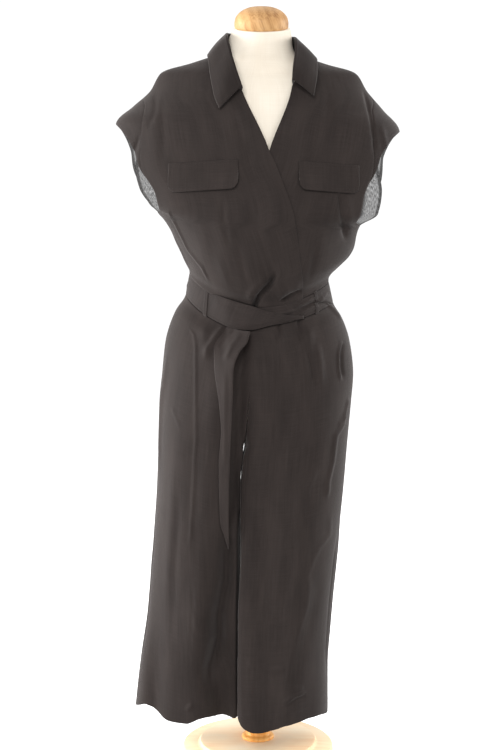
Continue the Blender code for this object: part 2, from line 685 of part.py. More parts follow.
def belt_point(turn, height, lift):
    """A point over the waist seam: height above the seam and lift out from its ring."""
    point = bodice(0, turn)
    normal = outward(bodice, 0, turn, len(BODICE) - 1, -1)
    normal.z = 0
    return point + normal.normalized() * lift + Vector((0, 0, height))


def turn_at(x):
    """Turn of the waist seam's front at x."""
    row = BODICE[0]
    return math.degrees(math.acos(x / (row[5] if x > 0 else row[4])))


def belt_section(turn, part, extra=0.0):
    """Height and lift of the belt's outer face, part way from its lower to its upper edge."""
    _, top, bottom, lift_top, lift_bottom, bulge = at_key(BELT, turn)
    lift = lift_bottom + (lift_top - lift_bottom) * part
    return bottom + (top - bottom) * part, lift + bulge * math.sin(math.pi * part) + extra


def build_belt(parts):
    turns = spread(BELT[0][0], BELT[-1][0], 46)
    outer, inner = [], []
    for part in BELT_PARTS:
        outer.append([belt_point(turn, *belt_section(turn, part)) for turn in turns])
        inner.append([belt_point(turn, *belt_section(turn, part, -BELT_CLOTH)) for turn in turns])
    wall("belt_band", outer, inner, parts)
    for number, turn in enumerate(LOOP_TURNS, 1):
        build_loop(f"belt_loop_{number}", turn, parts)


def build_loop(name, turn, parts):
    """A flat loop over the belt, a little longer than the belt is wide."""
    spread_turn = math.degrees(LOOP_WIDTH / 2 / 0.135)
    line = (turn - spread_turn, turn, turn + spread_turn)
    past = LOOP_REACH / (at_key(BELT, turn)[1] - at_key(BELT, turn)[2])
    outer, inner = [], []
    for part in (-past, 0.0, 0.33, 0.67, 1.0, 1 + past):
        inside = min(max(part, 0.0), 1.0)
        over = SEAM + LOOP_CLOTH + 0.0008 * math.sin(math.pi * inside)
        if part != inside:
            over -= 0.0008
        outer.append([])
        inner.append([])
        for at in line:
            height, lift = belt_section(at, inside)
            height += (part - inside) / past * LOOP_REACH
            outer[-1].append(belt_point(at, height, lift + over))
            inner[-1].append(belt_point(at, height, lift + over - LOOP_CLOTH))
    wall(name, outer, inner, parts)


def on_leg_front(x, z, lift):
    """The point of the trousers' right front at x and z, moved out by lift."""
    low, high = 0.0, float(len(RIGHT_LEG) - 1)
    for _ in range(20):
        place = (low + high) / 2
        near, far = 0.0, 180 - between(RIGHT_LEG, place)[5]
        for _ in range(20):
            swing = (near + far) / 2
            if right_leg(place, swing).x < x:
                near = swing
            else:
                far = swing
        if right_leg(place, swing).z > z:
            low = place
        else:
            high = place
    return right_leg(place, swing) + Vector((0, -lift, 0))


def build_tail(parts):
    outer, inner = [], []
    for place in spread(0.0, len(TAIL) - 1, 2 * (len(TAIL) - 1)):
        z, left, right = between(TAIL, place)
        outer.append([])
        inner.append([])
        for part in spread(0.0, 1.0, 4):
            x = left + (right - left) * part
            turn = turn_at(x)
            edge = bodice(0, turn).z + belt_section(turn - 360, 0.0)[0] - 0.0008
            top = edge - TAIL[0][0]
            point = on_leg_front(x, z + top * ease(1 - place / 3), TAIL_LIFT)
            outer[-1].append(point)
            inner[-1].append(point + Vector((0, BELT_CLOTH, 0)))
    wall("belt_tail", outer, inner, parts)


def build_form(parts):
    """The torso and neck: a globe's rings set out at the form's sections."""
    rings = len(FORM)
    bm = bmesh.new()
    bmesh.ops.create_uvsphere(bm, u_segments=FORM_SECTORS, v_segments=rings + 1, radius=1.0)
    for vert in bm.verts:
        latitude = math.asin(max(-1.0, min(1.0, vert.co.z)))
        index = round((latitude / math.pi + 0.5) * (rings + 1)) - 1
        z, side, front, back, fullness = FORM[min(max(index, 0), rings - 1)]
        if index in (-1, rings):
            vert.co = (0 if index < 0 else NECK_SHIFT, 0, z)
            continue
        angle = math.atan2(vert.co.y, vert.co.x)
        depth = back if vert.co.y > 0 else front
        y = depth * power(math.sin(angle), fullness)
        neck = ease((z - NECK_TILT_FROM) / (FORM[-1][0] - NECK_TILT_FROM))
        x = side * power(math.cos(angle), fullness) + NECK_SHIFT * neck
        vert.co = (x, y, z + y * NECK_TILT * neck)
    part = add_part("form_torso", bm, parts)
    paint(part, LINEN_COLOUR, 0.8)


def turned(name, profile, floor, colour, roughness, parts, tilt=0.0):
    """A profile spun round Z by a Screw modifier. It runs down its outer side."""
    bm = bmesh.new()
    outline = [*reversed(profile), (0.0, profile[0][1])]
    verts = [bm.verts.new((radius, 0.0, height)) for radius, height in outline]
    for a, b in zip(verts, verts[1:]):
        bm.edges.new((a, b))
    mesh = bpy.data.meshes.new(name)
    bm.to_mesh(mesh)
    bm.free()
    part = bpy.data.objects.new(name, mesh)
    part.location = (0, 0, floor)
    part.rotation_euler = (tilt, 0, 0)
    parts.objects.link(part)
    screw = part.modifiers.new("Turn", "SCREW")
    screw.steps = screw.render_steps = TURNED_STEPS
    screw.use_merge_vertices = True
    screw.merge_threshold = 0.00001
    screw.use_smooth_shade = True
    paint(part, colour, roughness)
    return part


def build_stand(parts):
    base_top = BASE_PROFILE[-1][1]
    turned("stand_base", BASE_PROFILE, 0.0, BASE_COLOUR, 0.4, parts)
    turned("post_collar", COLLAR_PROFILE, base_top + SEAM, POST_COLOUR, 0.35, parts)
    foot = base_top + COLLAR_PROFILE[-1][1] + 2 * SEAM
    top = FORM[0][0] - SEAM
    profile = ((POST_RADIUS, 0.0), (POST_RADIUS, top - foot), (0.0, top - foot))
    turned("stand_post", profile, foot, POST_COLOUR, 0.35, parts)
    tilt = math.atan(NECK_TILT)
    cap = turned("neck_cap", CAP_PROFILE, FORM[-1][0] + SEAM, CAP_COLOUR, 0.25, parts, tilt)
    cap.location.x = NECK_SHIFT


def main():
    for old in list(bpy.data.objects):
        bpy.data.objects.remove(old, do_unlink=True)
    parts = bpy.data.collections.new("Jumpsuit on dress form")
    bpy.context.scene.collection.children.link(parts)
    build_form(parts)
    build_stand(parts)
    build_bodice(parts)
    build_sleeve("sleeve_right", False, parts)
    build_sleeve("sleeve_left", True, parts)
    build_trousers(parts)
    build_collar(parts)
    for name in FLAPS:
        build_flap(name, parts)
    build_belt(parts)
    build_tail(parts)


main()
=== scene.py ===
import math

import bmesh
import bpy
import numpy as np
from mathutils import Matrix, Vector


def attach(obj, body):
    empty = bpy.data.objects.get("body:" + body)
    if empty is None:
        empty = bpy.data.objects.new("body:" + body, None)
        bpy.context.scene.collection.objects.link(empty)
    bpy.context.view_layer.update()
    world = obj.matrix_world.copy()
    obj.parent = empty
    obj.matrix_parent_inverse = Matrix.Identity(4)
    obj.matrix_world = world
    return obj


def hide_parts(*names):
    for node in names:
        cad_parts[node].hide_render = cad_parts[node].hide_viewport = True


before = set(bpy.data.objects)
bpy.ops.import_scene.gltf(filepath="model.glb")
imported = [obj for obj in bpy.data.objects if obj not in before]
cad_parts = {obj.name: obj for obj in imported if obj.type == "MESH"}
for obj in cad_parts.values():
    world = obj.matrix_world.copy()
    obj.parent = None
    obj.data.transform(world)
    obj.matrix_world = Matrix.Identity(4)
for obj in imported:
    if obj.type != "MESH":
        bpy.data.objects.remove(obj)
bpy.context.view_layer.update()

print("camera, floor and lights")

camera = dict(place=(-0.017, -3.4, 1.325), pitch=81.63, lens=78.72, sensor=36.0)
studio = dict(
    floorRadius=9.0, floorSeen=(0.95, 0.95, 0.95), floorLighting=(0.48, 0.48, 0.48), floorGlow=0.45,
    airColour=(1.0, 1.0, 1.0), air=0.59, airSeen=1.05,
    # name, place, aimed at, width, height, power
    lamps=(
        ("windowSide", (-3.2, 0.2, 1.2), (0.0, 0.0, 0.9), 1.8, 2.2, 204.0),
        ("farSide", (2.9, 0.9, 1.7), (0.0, 0.0, 1.2), 1.6, 1.8, 92.0),
        ("overhead", (0.1, 1.6, 3.4), (0.0, 0.0, 1.2), 2.4, 1.6, 14.0),
        ("frontFill", (-0.7, -4.2, 3.4), (0.0, 0.0, 1.2), 2.4, 1.6, 155.0),
        ("lowFill", (0.5, -3.0, 0.4), (0.0, 0.0, 0.03), 1.0, 0.4, 22.0),
    ),
)


def setSockets(node, values):
    for label, value in values.items():
        node.inputs[label].default_value = value


def meshFrom(bm, name):
    mesh = bpy.data.meshes.new(name)
    bm.to_mesh(mesh)
    bm.free()
    return mesh


def newPiece(name, mesh):
    piece = bpy.data.objects.new(name, mesh)
    bpy.context.scene.collection.objects.link(piece)
    return piece


def fitPiece(piece, slot, *nodes):
    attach(piece, "root")
    if nodes:
        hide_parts(*nodes)


def placeCamera():
    data = bpy.data.cameras.new("camera")
    data.lens, data.sensor_width, data.sensor_fit = camera["lens"], camera["sensor"], "AUTO"
    eye = bpy.data.objects.new("camera", data)
    eye.location = camera["place"]
    eye.rotation_euler = (math.radians(camera["pitch"]), 0, 0)
    bpy.context.scene.collection.objects.link(eye)
    bpy.context.scene.camera = eye


def lightStudio():
    scene = bpy.context.scene
    scene.view_settings.view_transform = "Standard"
    world = bpy.data.worlds.new("air")
    world.use_nodes = True
    nodes, links = world.node_tree.nodes, world.node_tree.links
    air = nodes["Background"]
    air.inputs["Color"].default_value = (*studio["airColour"], 1)
    rays = nodes.new("ShaderNodeLightPath")
    level = nodes.new("ShaderNodeMapRange")  # plain white where it is seen, softer where it lights
    setSockets(level, {"To Min": studio["air"], "To Max": studio["airSeen"]})
    links.new(rays.outputs["Is Camera Ray"], level.inputs["Value"])
    links.new(level.outputs["Result"], air.inputs["Strength"])
    scene.world = world
    for name, place, aim, width, height, power in studio["lamps"]:
        data = bpy.data.lights.new(name, "AREA")
        data.shape, data.size, data.size_y, data.energy = "RECTANGLE", width, height, power
        lamp = bpy.data.objects.new(name, data)
        lamp.location = place
        turn = (Vector(aim) - Vector(place)).to_track_quat("-Z", "Y")
        lamp.rotation_euler = turn.to_euler()
        scene.collection.objects.link(lamp)
    bm = bmesh.new()
    bmesh.ops.create_circle(bm, cap_ends=True, segments=96, radius=studio["floorRadius"])
    mesh = meshFrom(bm, "floor")
    floor = newPiece("floor", mesh)
    paint = bpy.data.materials.new("floorPaint")
    paint.use_nodes = True
    nodes, links = paint.node_tree.nodes, paint.node_tree.links
    shader, rays = nodes["Principled BSDF"], nodes.new("ShaderNodeLightPath")
    mix = nodes.new("ShaderNodeMix")  # pale to look at, and a little greyer in what it throws back
    mix.data_type = "RGBA"
    setSockets(mix, {"A": (*studio["floorLighting"], 1), "B": (*studio["floorSeen"], 1)})
    links.new(rays.outputs["Is Camera Ray"], mix.inputs["Factor"])
    links.new(mix.outputs["Result"], shader.inputs["Base Color"])
    glow = nodes.new("ShaderNodeMath")
    glow.operation = "MULTIPLY"
    glow.inputs[1].default_value = studio["floorGlow"]
    links.new(rays.outputs["Is Camera Ray"], glow.inputs[0])
    links.new(glow.outputs[0], shader.inputs["Emission Strength"])
    setSockets(shader, {"Roughness": 0.9, "Emission Color": (1, 1, 1, 1)})
    mesh.materials.append(paint)


placeCamera()
lightStudio()

print("finishes")


def newGroup(name, inputs, outputs):
    group = bpy.data.node_groups.new(name, "ShaderNodeTree")
    for label, kind, value in inputs:
        socket = group.interface.new_socket(name=label, in_out="INPUT", socket_type="NodeSocket" + kind)
        if value is not None:
            socket.default_value = value
    for label, kind in outputs:
        group.interface.new_socket(name=label, in_out="OUTPUT", socket_type="NodeSocket" + kind)
    return group, group.nodes.new("NodeGroupInput"), group.nodes.new("NodeGroupOutput")


def mathNode(tree, operation, *values):
    node = tree.nodes.new("ShaderNodeMath")
    node.operation = operation
    for socket, value in zip(node.inputs, values):
        if isinstance(value, bpy.types.NodeSocket):
            tree.links.new(value, socket)
        else:
            socket.default_value = value
    return node.outputs[0]


def noiseNode(tree, vector, scale, detail=3.0, roughness=0.5):
    node = tree.nodes.new("ShaderNodeTexNoise")
    setSockets(node, {"Scale": scale, "Detail": detail, "Roughness": roughness})
    tree.links.new(vector, node.inputs["Vector"])
    return node.outputs["Fac"]


def stretchNode(tree, vector, scale, turn=(0, 0, 0)):
    node = tree.nodes.new("ShaderNodeMapping")
    setSockets(node, {"Scale": scale, "Rotation": turn})
    tree.links.new(vector, node.inputs["Vector"])
    return node.outputs["Vector"]


def makeWeave():  # plain weave on a piece's own UV map, which is in metres
    group, start, end = newGroup(
        "weave",
        [("Vector", "Vector", None), ("Threads", "Float", 1500.0), ("Slub", "Float", 0.5)],
        [("Height", "Float"), ("Shade", "Float")],
    )
    split = group.nodes.new("ShaderNodeSeparateXYZ")
    group.links.new(start.outputs["Vector"], split.inputs[0])
    threads = mathNode(group, "MULTIPLY", start.outputs["Threads"], math.pi)
    warp = mathNode(group, "SINE", mathNode(group, "MULTIPLY", split.outputs["X"], threads))
    weft = mathNode(group, "SINE", mathNode(group, "MULTIPLY", split.outputs["Y"], threads))
    over = mathNode(group, "MULTIPLY", warp, weft)
    slubDown = noiseNode(group, stretchNode(group, start.outputs["Vector"], (900, 14, 1)), 1.0, 2.0)
    slubAcross = noiseNode(group, stretchNode(group, start.outputs["Vector"], (16, 800, 1)), 1.0, 2.0)
    slub = mathNode(group, "SUBTRACT", mathNode(group, "ADD", slubDown, slubAcross), 1.0)
    slub = mathNode(group, "MULTIPLY", slub, start.outputs["Slub"])
    height = mathNode(group, "ADD", mathNode(group, "MULTIPLY", over, 0.5), slub)
    patch = noiseNode(group, stretchNode(group, start.outputs["Vector"], (1, 0.3, 1)), 24.0, 3.0)
    streak = noiseNode(group, stretchNode(group, start.outputs["Vector"], (230, 11, 1)), 1.0, 3.0, 0.6)
    patch, streak = mathNode(group, "MULTIPLY", patch, 0.66), mathNode(group, "MULTIPLY", streak, 0.34)
    patch = mathNode(group, "ADD", patch, streak)
    shade = mathNode(group, "ADD", mathNode(group, "MULTIPLY", slub, 0.8), patch)
    shade = mathNode(group, "ADD", shade, mathNode(group, "MULTIPLY", over, 0.12))
    group.links.new(height, end.inputs["Height"])
    group.links.new(shade, end.inputs["Shade"])
    return group


def makeGrain():  # wood grain in the piece's own space, along z
    group, start, end = newGroup(
        "grain",
        [("Vector", "Vector", None), ("Fine", "Float", 90.0), ("Streak", "Float", 0.5)],
        [("Shade", "Float"), ("Height", "Float")],
    )
    scaled = group.nodes.new("ShaderNodeVectorMath")
    scaled.operation = "SCALE"
    group.links.new(start.outputs["Vector"], scaled.inputs[0])
    group.links.new(start.outputs["Fine"], scaled.inputs["Scale"])
    vector = scaled.outputs[0]
    warped = noiseNode(group, vector, 0.25, 2.0)
    ring = group.nodes.new("ShaderNodeTexWave")
    ring.wave_type, ring.bands_direction = "BANDS", "X"
    setSockets(ring, {"Scale": 0.35, "Distortion": 5.0, "Detail": 2.5, "Detail Scale": 0.6})
    group.links.new(vector, ring.inputs["Vector"])
    fibre = noiseNode(group, stretchNode(group, vector, (6, 6, 0.18)), 1.0, 3.0, 0.6)
    streak = mathNode(group, "MULTIPLY", mathNode(group, "SUBTRACT", fibre, 0.5), start.outputs["Streak"])
    shade = mathNode(group, "ADD", mathNode(group, "MULTIPLY", ring.outputs["Fac"], 0.16), warped)
    shade = mathNode(group, "ADD", mathNode(group, "SUBTRACT", shade, 0.08), streak)
    group.links.new(shade, end.inputs["Shade"])
    group.links.new(fibre, end.inputs["Height"])
    return group


def makeOpenness():  # how far a thin single layer hides what is behind it
    group, start, end = newGroup(
        "openness",
        [("Vector", "Vector", None), ("Thin", "Float", 0.0), ("Open", "Float", 0.5)],
        [("Alpha", "Float")],
    )
    streak = noiseNode(group, stretchNode(group, start.outputs["Vector"], (1.9, 0.35, 1)), 420.0, 2.0, 0.5)
    uneven = mathNode(group, "MULTIPLY", mathNode(group, "SUBTRACT", streak, 0.5), 1.1)
    through = mathNode(group, "ADD", uneven, start.outputs["Open"])
    through = mathNode(group, "MULTIPLY", through, start.outputs["Thin"])
    group.links.new(mathNode(group, "SUBTRACT", 1.0, through), end.inputs["Alpha"])
    return group


weave, grain, openness = makeWeave(), makeGrain(), makeOpenness()


def newFinish(name):
    finish = bpy.data.materials.new(name)
    finish.use_nodes = True
    tree = finish.node_tree
    return finish, tree, tree.nodes["Principled BSDF"]


def addGroup(tree, group, vector, **values):
    node = tree.nodes.new("ShaderNodeGroup")
    node.node_tree = group
    tree.links.new(vector, node.inputs["Vector"])
    setSockets(node, values)
    return node


def ramp(tree, factor, stops):
    node = tree.nodes.new("ShaderNodeValToRGB")
    while len(node.color_ramp.elements) < len(stops):
        node.color_ramp.elements.new(0.5)
    for element, (place, colour) in zip(node.color_ramp.elements, stops):
        element.position, element.color = place, (*colour, 1)
    tree.links.new(factor, node.inputs["Fac"])
    return node.outputs["Color"]


def bump(tree, height, strength, distance):
    node = tree.nodes.new("ShaderNodeBump")
    setSockets(node, {"Strength": strength, "Distance": distance})
    tree.links.new(height, node.inputs["Height"])
    return node.outputs["Normal"]


clothLook = dict(
    threads=1500.0, slub=0.5, darkAt=0.25, lightAt=0.8, bump=0.35, bumpDepth=0.0003,
    rough=0.78, sheenRough=0.42, sheenTint=(0.95, 0.9, 0.88, 1),
    paintedShadeReach=0.016, paintedShadeFrom=0.3, paintedShadeTo=0.84,  # painted shade: how closely other cloth has to lie for the ambient occlusion to darken the colour
)


def clothFinish(name, dark, light, sheen, specular, threads=clothLook["threads"], deepestPaintedShade=1.0):
    finish, tree, shader = newFinish(name)
    uv = tree.nodes.new("ShaderNodeUVMap")
    uv.uv_map = "cut"
    woven = addGroup(tree, weave, uv.outputs["UV"], Threads=threads, Slub=clothLook["slub"])
    colour = ramp(tree, woven.outputs["Shade"], ((clothLook["darkAt"], dark), (clothLook["lightAt"], light)))
    if deepestPaintedShade < 1:  # painted shade: ambient occlusion darkens the cloth's colour down in a crease or along an edge that lies on other cloth
        paintedShade = tree.nodes.new("ShaderNodeAmbientOcclusion")
        paintedShade.samples = 8
        setSockets(paintedShade, {"Distance": clothLook["paintedShadeReach"]})
        level = tree.nodes.new("ShaderNodeMapRange")
        setSockets(level, {
            "From Min": clothLook["paintedShadeFrom"], "From Max": clothLook["paintedShadeTo"], "To Min": deepestPaintedShade,
        })
        tree.links.new(paintedShade.outputs["AO"], level.inputs["Value"])
        mix = tree.nodes.new("ShaderNodeMix")
        mix.data_type, mix.blend_type = "RGBA", "MULTIPLY"
        setSockets(mix, {"Factor": 1.0})
        tree.links.new(colour, mix.inputs["A"])
        tree.links.new(level.outputs["Result"], mix.inputs["B"])
        colour = mix.outputs["Result"]
    tree.links.new(colour, shader.inputs["Base Color"])
    normal = bump(tree, woven.outputs["Height"], clothLook["bump"], clothLook["bumpDepth"])
    tree.links.new(normal, shader.inputs["Normal"])
    setSockets(shader, {
        "Roughness": clothLook["rough"], "Specular IOR Level": specular, "Sheen Weight": sheen,
        "Sheen Roughness": clothLook["sheenRough"], "Sheen Tint": clothLook["sheenTint"],
    })
    return finish


def linenFinish():
    finish, tree, shader = newFinish("linenCover")
    place = tree.nodes.new("ShaderNodeTexCoord").outputs["Object"]
    uv = tree.nodes.new("ShaderNodeUVMap")
    uv.uv_map = "cut"
    woven = addGroup(tree, weave, uv.outputs["UV"], Threads=900.0, Slub=0.7)
    stain = noiseNode(tree, place, 9.0, 4.0)
    shade = mathNode(tree, "MULTIPLY", woven.outputs["Shade"], 0.5)
    shade = mathNode(tree, "ADD", shade, mathNode(tree, "MULTIPLY", stain, 0.5))
    colour = ramp(tree, shade, ((0.2, (0.68, 0.6, 0.49)), (0.75, (0.8, 0.74, 0.645))))
    tree.links.new(colour, shader.inputs["Base Color"])
    tree.links.new(bump(tree, woven.outputs["Height"], 0.3, 0.0004), shader.inputs["Normal"])
    setSockets(shader, {"Roughness": 0.85, "Specular IOR Level": 0.2})
    return finish


def woodFinish(name, dark, middle, light, fine, streak, coat, turn=(0, 0, 0), rough=0.5):
    finish, tree, shader = newFinish(name)
    place = tree.nodes.new("ShaderNodeTexCoord").outputs["Object"]
    grained = addGroup(tree, grain, stretchNode(tree, place, (1, 1, 1), turn), Fine=fine, Streak=streak)
    colour = ramp(tree, grained.outputs["Shade"], ((0.15, dark), (0.5, middle), (0.85, light)))
    tree.links.new(colour, shader.inputs["Base Color"])
    tree.links.new(bump(tree, grained.outputs["Height"], 0.15, 0.0004), shader.inputs["Normal"])
    setSockets(shader, {
        "Roughness": rough, "Coat Weight": coat, "Coat Roughness": 0.12, "Specular IOR Level": 0.25,
    })
    return finish


# name, dark and light threads, sheen, specular, and the least that the painted shade darkens the colour to
outside = clothFinish("charcoalCloth", (0.013, 0.009, 0.0079), (0.03, 0.0221, 0.0196), 0.15, 0.18, deepestPaintedShade=0.3)
doubleOutside = clothFinish(
    "charcoalDoubled", (0.0108, 0.0075, 0.0066), (0.025, 0.0184, 0.0163), 0.13, 0.16, deepestPaintedShade=0.3)
evenOutside = clothFinish(
    "charcoalBelt", (0.0126, 0.0087, 0.0077), (0.029, 0.0213, 0.019), 0.17, 0.2, deepestPaintedShade=0.7)
# painted light: a lighter copy of the cloth for the belt's hanging end, standing in for the window lamp's light
# on it, with less painted shade
tailPaintedLight = clothFinish(
    "charcoalTailPaintedLight", (0.015, 0.0104, 0.0092), (0.0335, 0.0247, 0.022), 0.2, 0.22, deepestPaintedShade=0.8)
reverse = clothFinish("charcoalReverse", (0.02, 0.0165, 0.0155), (0.038, 0.032, 0.03), 0.16, 0.2)
thread = clothFinish("sewingThread", (0.014, 0.0099, 0.0088), (0.03, 0.0226, 0.02), 0.1, 0.2, 3000.0)
linen = linenFinish()
# name, dark, middle and light grain, its fineness, its streaks, coat, how it is turned, roughness
capWood = woodFinish(
    "varnishedCap", (0.28, 0.132, 0.048), (0.5, 0.28, 0.115), (0.63, 0.385, 0.175), 60.0, 0.9, 0.04,
    (0, 0.35, 0), 0.6)
postWood = woodFinish(
    "varnishedPost", (0.74, 0.28, 0.045), (1.0, 0.48, 0.13), (1.0, 0.64, 0.24), 70.0, 0.9, 0.2)
baseWood = woodFinish(
    "paleWood", (0.92, 0.6, 0.34), (1.0, 0.76, 0.5), (1.0, 0.84, 0.62), 34.0, 0.6, 0.3, (0, math.pi / 2, 0))

# Surfaces. A place along a table is a row number with a fraction.


def rowsAt(table, place):  # smooth between the rows, with no overshoot
    table, place = np.asarray(table, float), np.asarray(place, float)
    low = np.clip(place.astype(int), 0, len(table) - 2)
    part = (place - low)[..., None]
    steps = np.diff(table, axis=0)
    before, after = np.vstack([steps[:1], steps]), np.vstack([steps, steps[-1:]])
    agree = before * after > 0
    slope = np.where(agree, 2 * before * after / np.where(agree, before + after, 1.0), 0.0)
    square, cube = part**2, part**3
    return (
        table[low] * (2 * cube - 3 * square + 1)
        + table[low + 1] * (3 * square - 2 * cube)
        + slope[low] * (cube - 2 * square + part)
        + slope[low + 1] * (cube - square)
    )


def atKey(table, key):
    keys = np.array([row[0] for row in table])
    order = 1 if keys[-1] > keys[0] else -1
    return rowsAt(table, np.interp(np.asarray(key) * order, keys * order, range(len(keys))))


def signedPower(value, fullness):
    return np.sign(value) * np.abs(value) ** (2.0 / fullness)


def ease(part):
    part = np.clip(part, 0.0, 1.0)
    return part * part * (3 - 2 * part)


def unit(vectors):
    return vectors / np.maximum(np.linalg.norm(vectors, axis=-1, keepdims=True), 1e-12)


def foldHeight(folds, x, z, shape):  # soft folds, as high along their length as the shape gives
    total = np.zeros_like(x)
    for topX, topZ, bottomX, bottomZ, height, halfWidth in folds:
        along = (topZ - z) / (topZ - bottomZ)
        centre = topX + (bottomX - topX) * along
        total += height * shape(along) * np.exp(-(((x - centre) / halfWidth) ** 2))
    return total


def swelling(along):  # fullest in the middle, where ease grows from nothing at the top
    return np.sin(math.pi * np.clip(along, 0, 1)) ** 1.5


# the least height at a crease's ends, the turn of the cloth at which it fades out and within what,
# and the nearest to the middle that a side's crease comes
creased = dict(leastEnd=0.05, turned=0.1, turning=0.3, outerX=0.08)


def creaseHeight(creases, points, normals):
    # Each crease is a bent line on the cloth: the side that it is seen from, its height (a trough
    # is less than 0), its half width, how sharp its ends are, and its points on that side.
    sides = dict(front=(0, 1, -1), back=(0, 1, 1), left=(1, 0, 1), right=(1, 0, -1))
    total = np.zeros(points.shape[:-1])
    for side, height, halfWidth, ends, line in creases:
        axis, facing, sign = sides[side]
        across, up = points[..., axis], points[..., 2]
        line = np.array(line, float)
        runs = np.linalg.norm(np.diff(line, axis=0), axis=1)
        whole, nearest, place, before = runs.sum(), None, None, 0.0
        for (ax, az), (bx, bz), run in zip(line, line[1:], runs):
            part = ((across - ax) * (bx - ax) + (up - az) * (bz - az)) / run**2
            part = np.clip(part, 0, 1)
            gap = np.hypot(across - ax - (bx - ax) * part, up - az - (bz - az) * part)
            at = (before + part * run) / whole
            if nearest is None:
                nearest, place = gap, at
            else:
                place = np.where(gap < nearest, at, place)
                nearest = np.minimum(gap, nearest)
            before += run
        fade = ease(np.minimum(place, 1 - place) / ends + creased["leastEnd"])
        seen = ease((normals[..., facing] * sign - creased["turned"]) / creased["turning"])
        if facing == 0:  # not on the inner faces of the legs
            seen = seen * (np.abs(points[..., 0]) > creased["outerX"])
        total += height * fade * seen * np.exp(-((nearest / halfWidth) ** 2))
    return total


sizes = dict(
    cloth=0.0011, seam=0.0003, lapLift=0.0026, underDrop=0.002, legSplit=0.0006,
    seamDip=0.0011, seamDipWidth=0.0022, rimDip=0.0003, sewnDip=0.0002, rimWidth=0.0012,
)

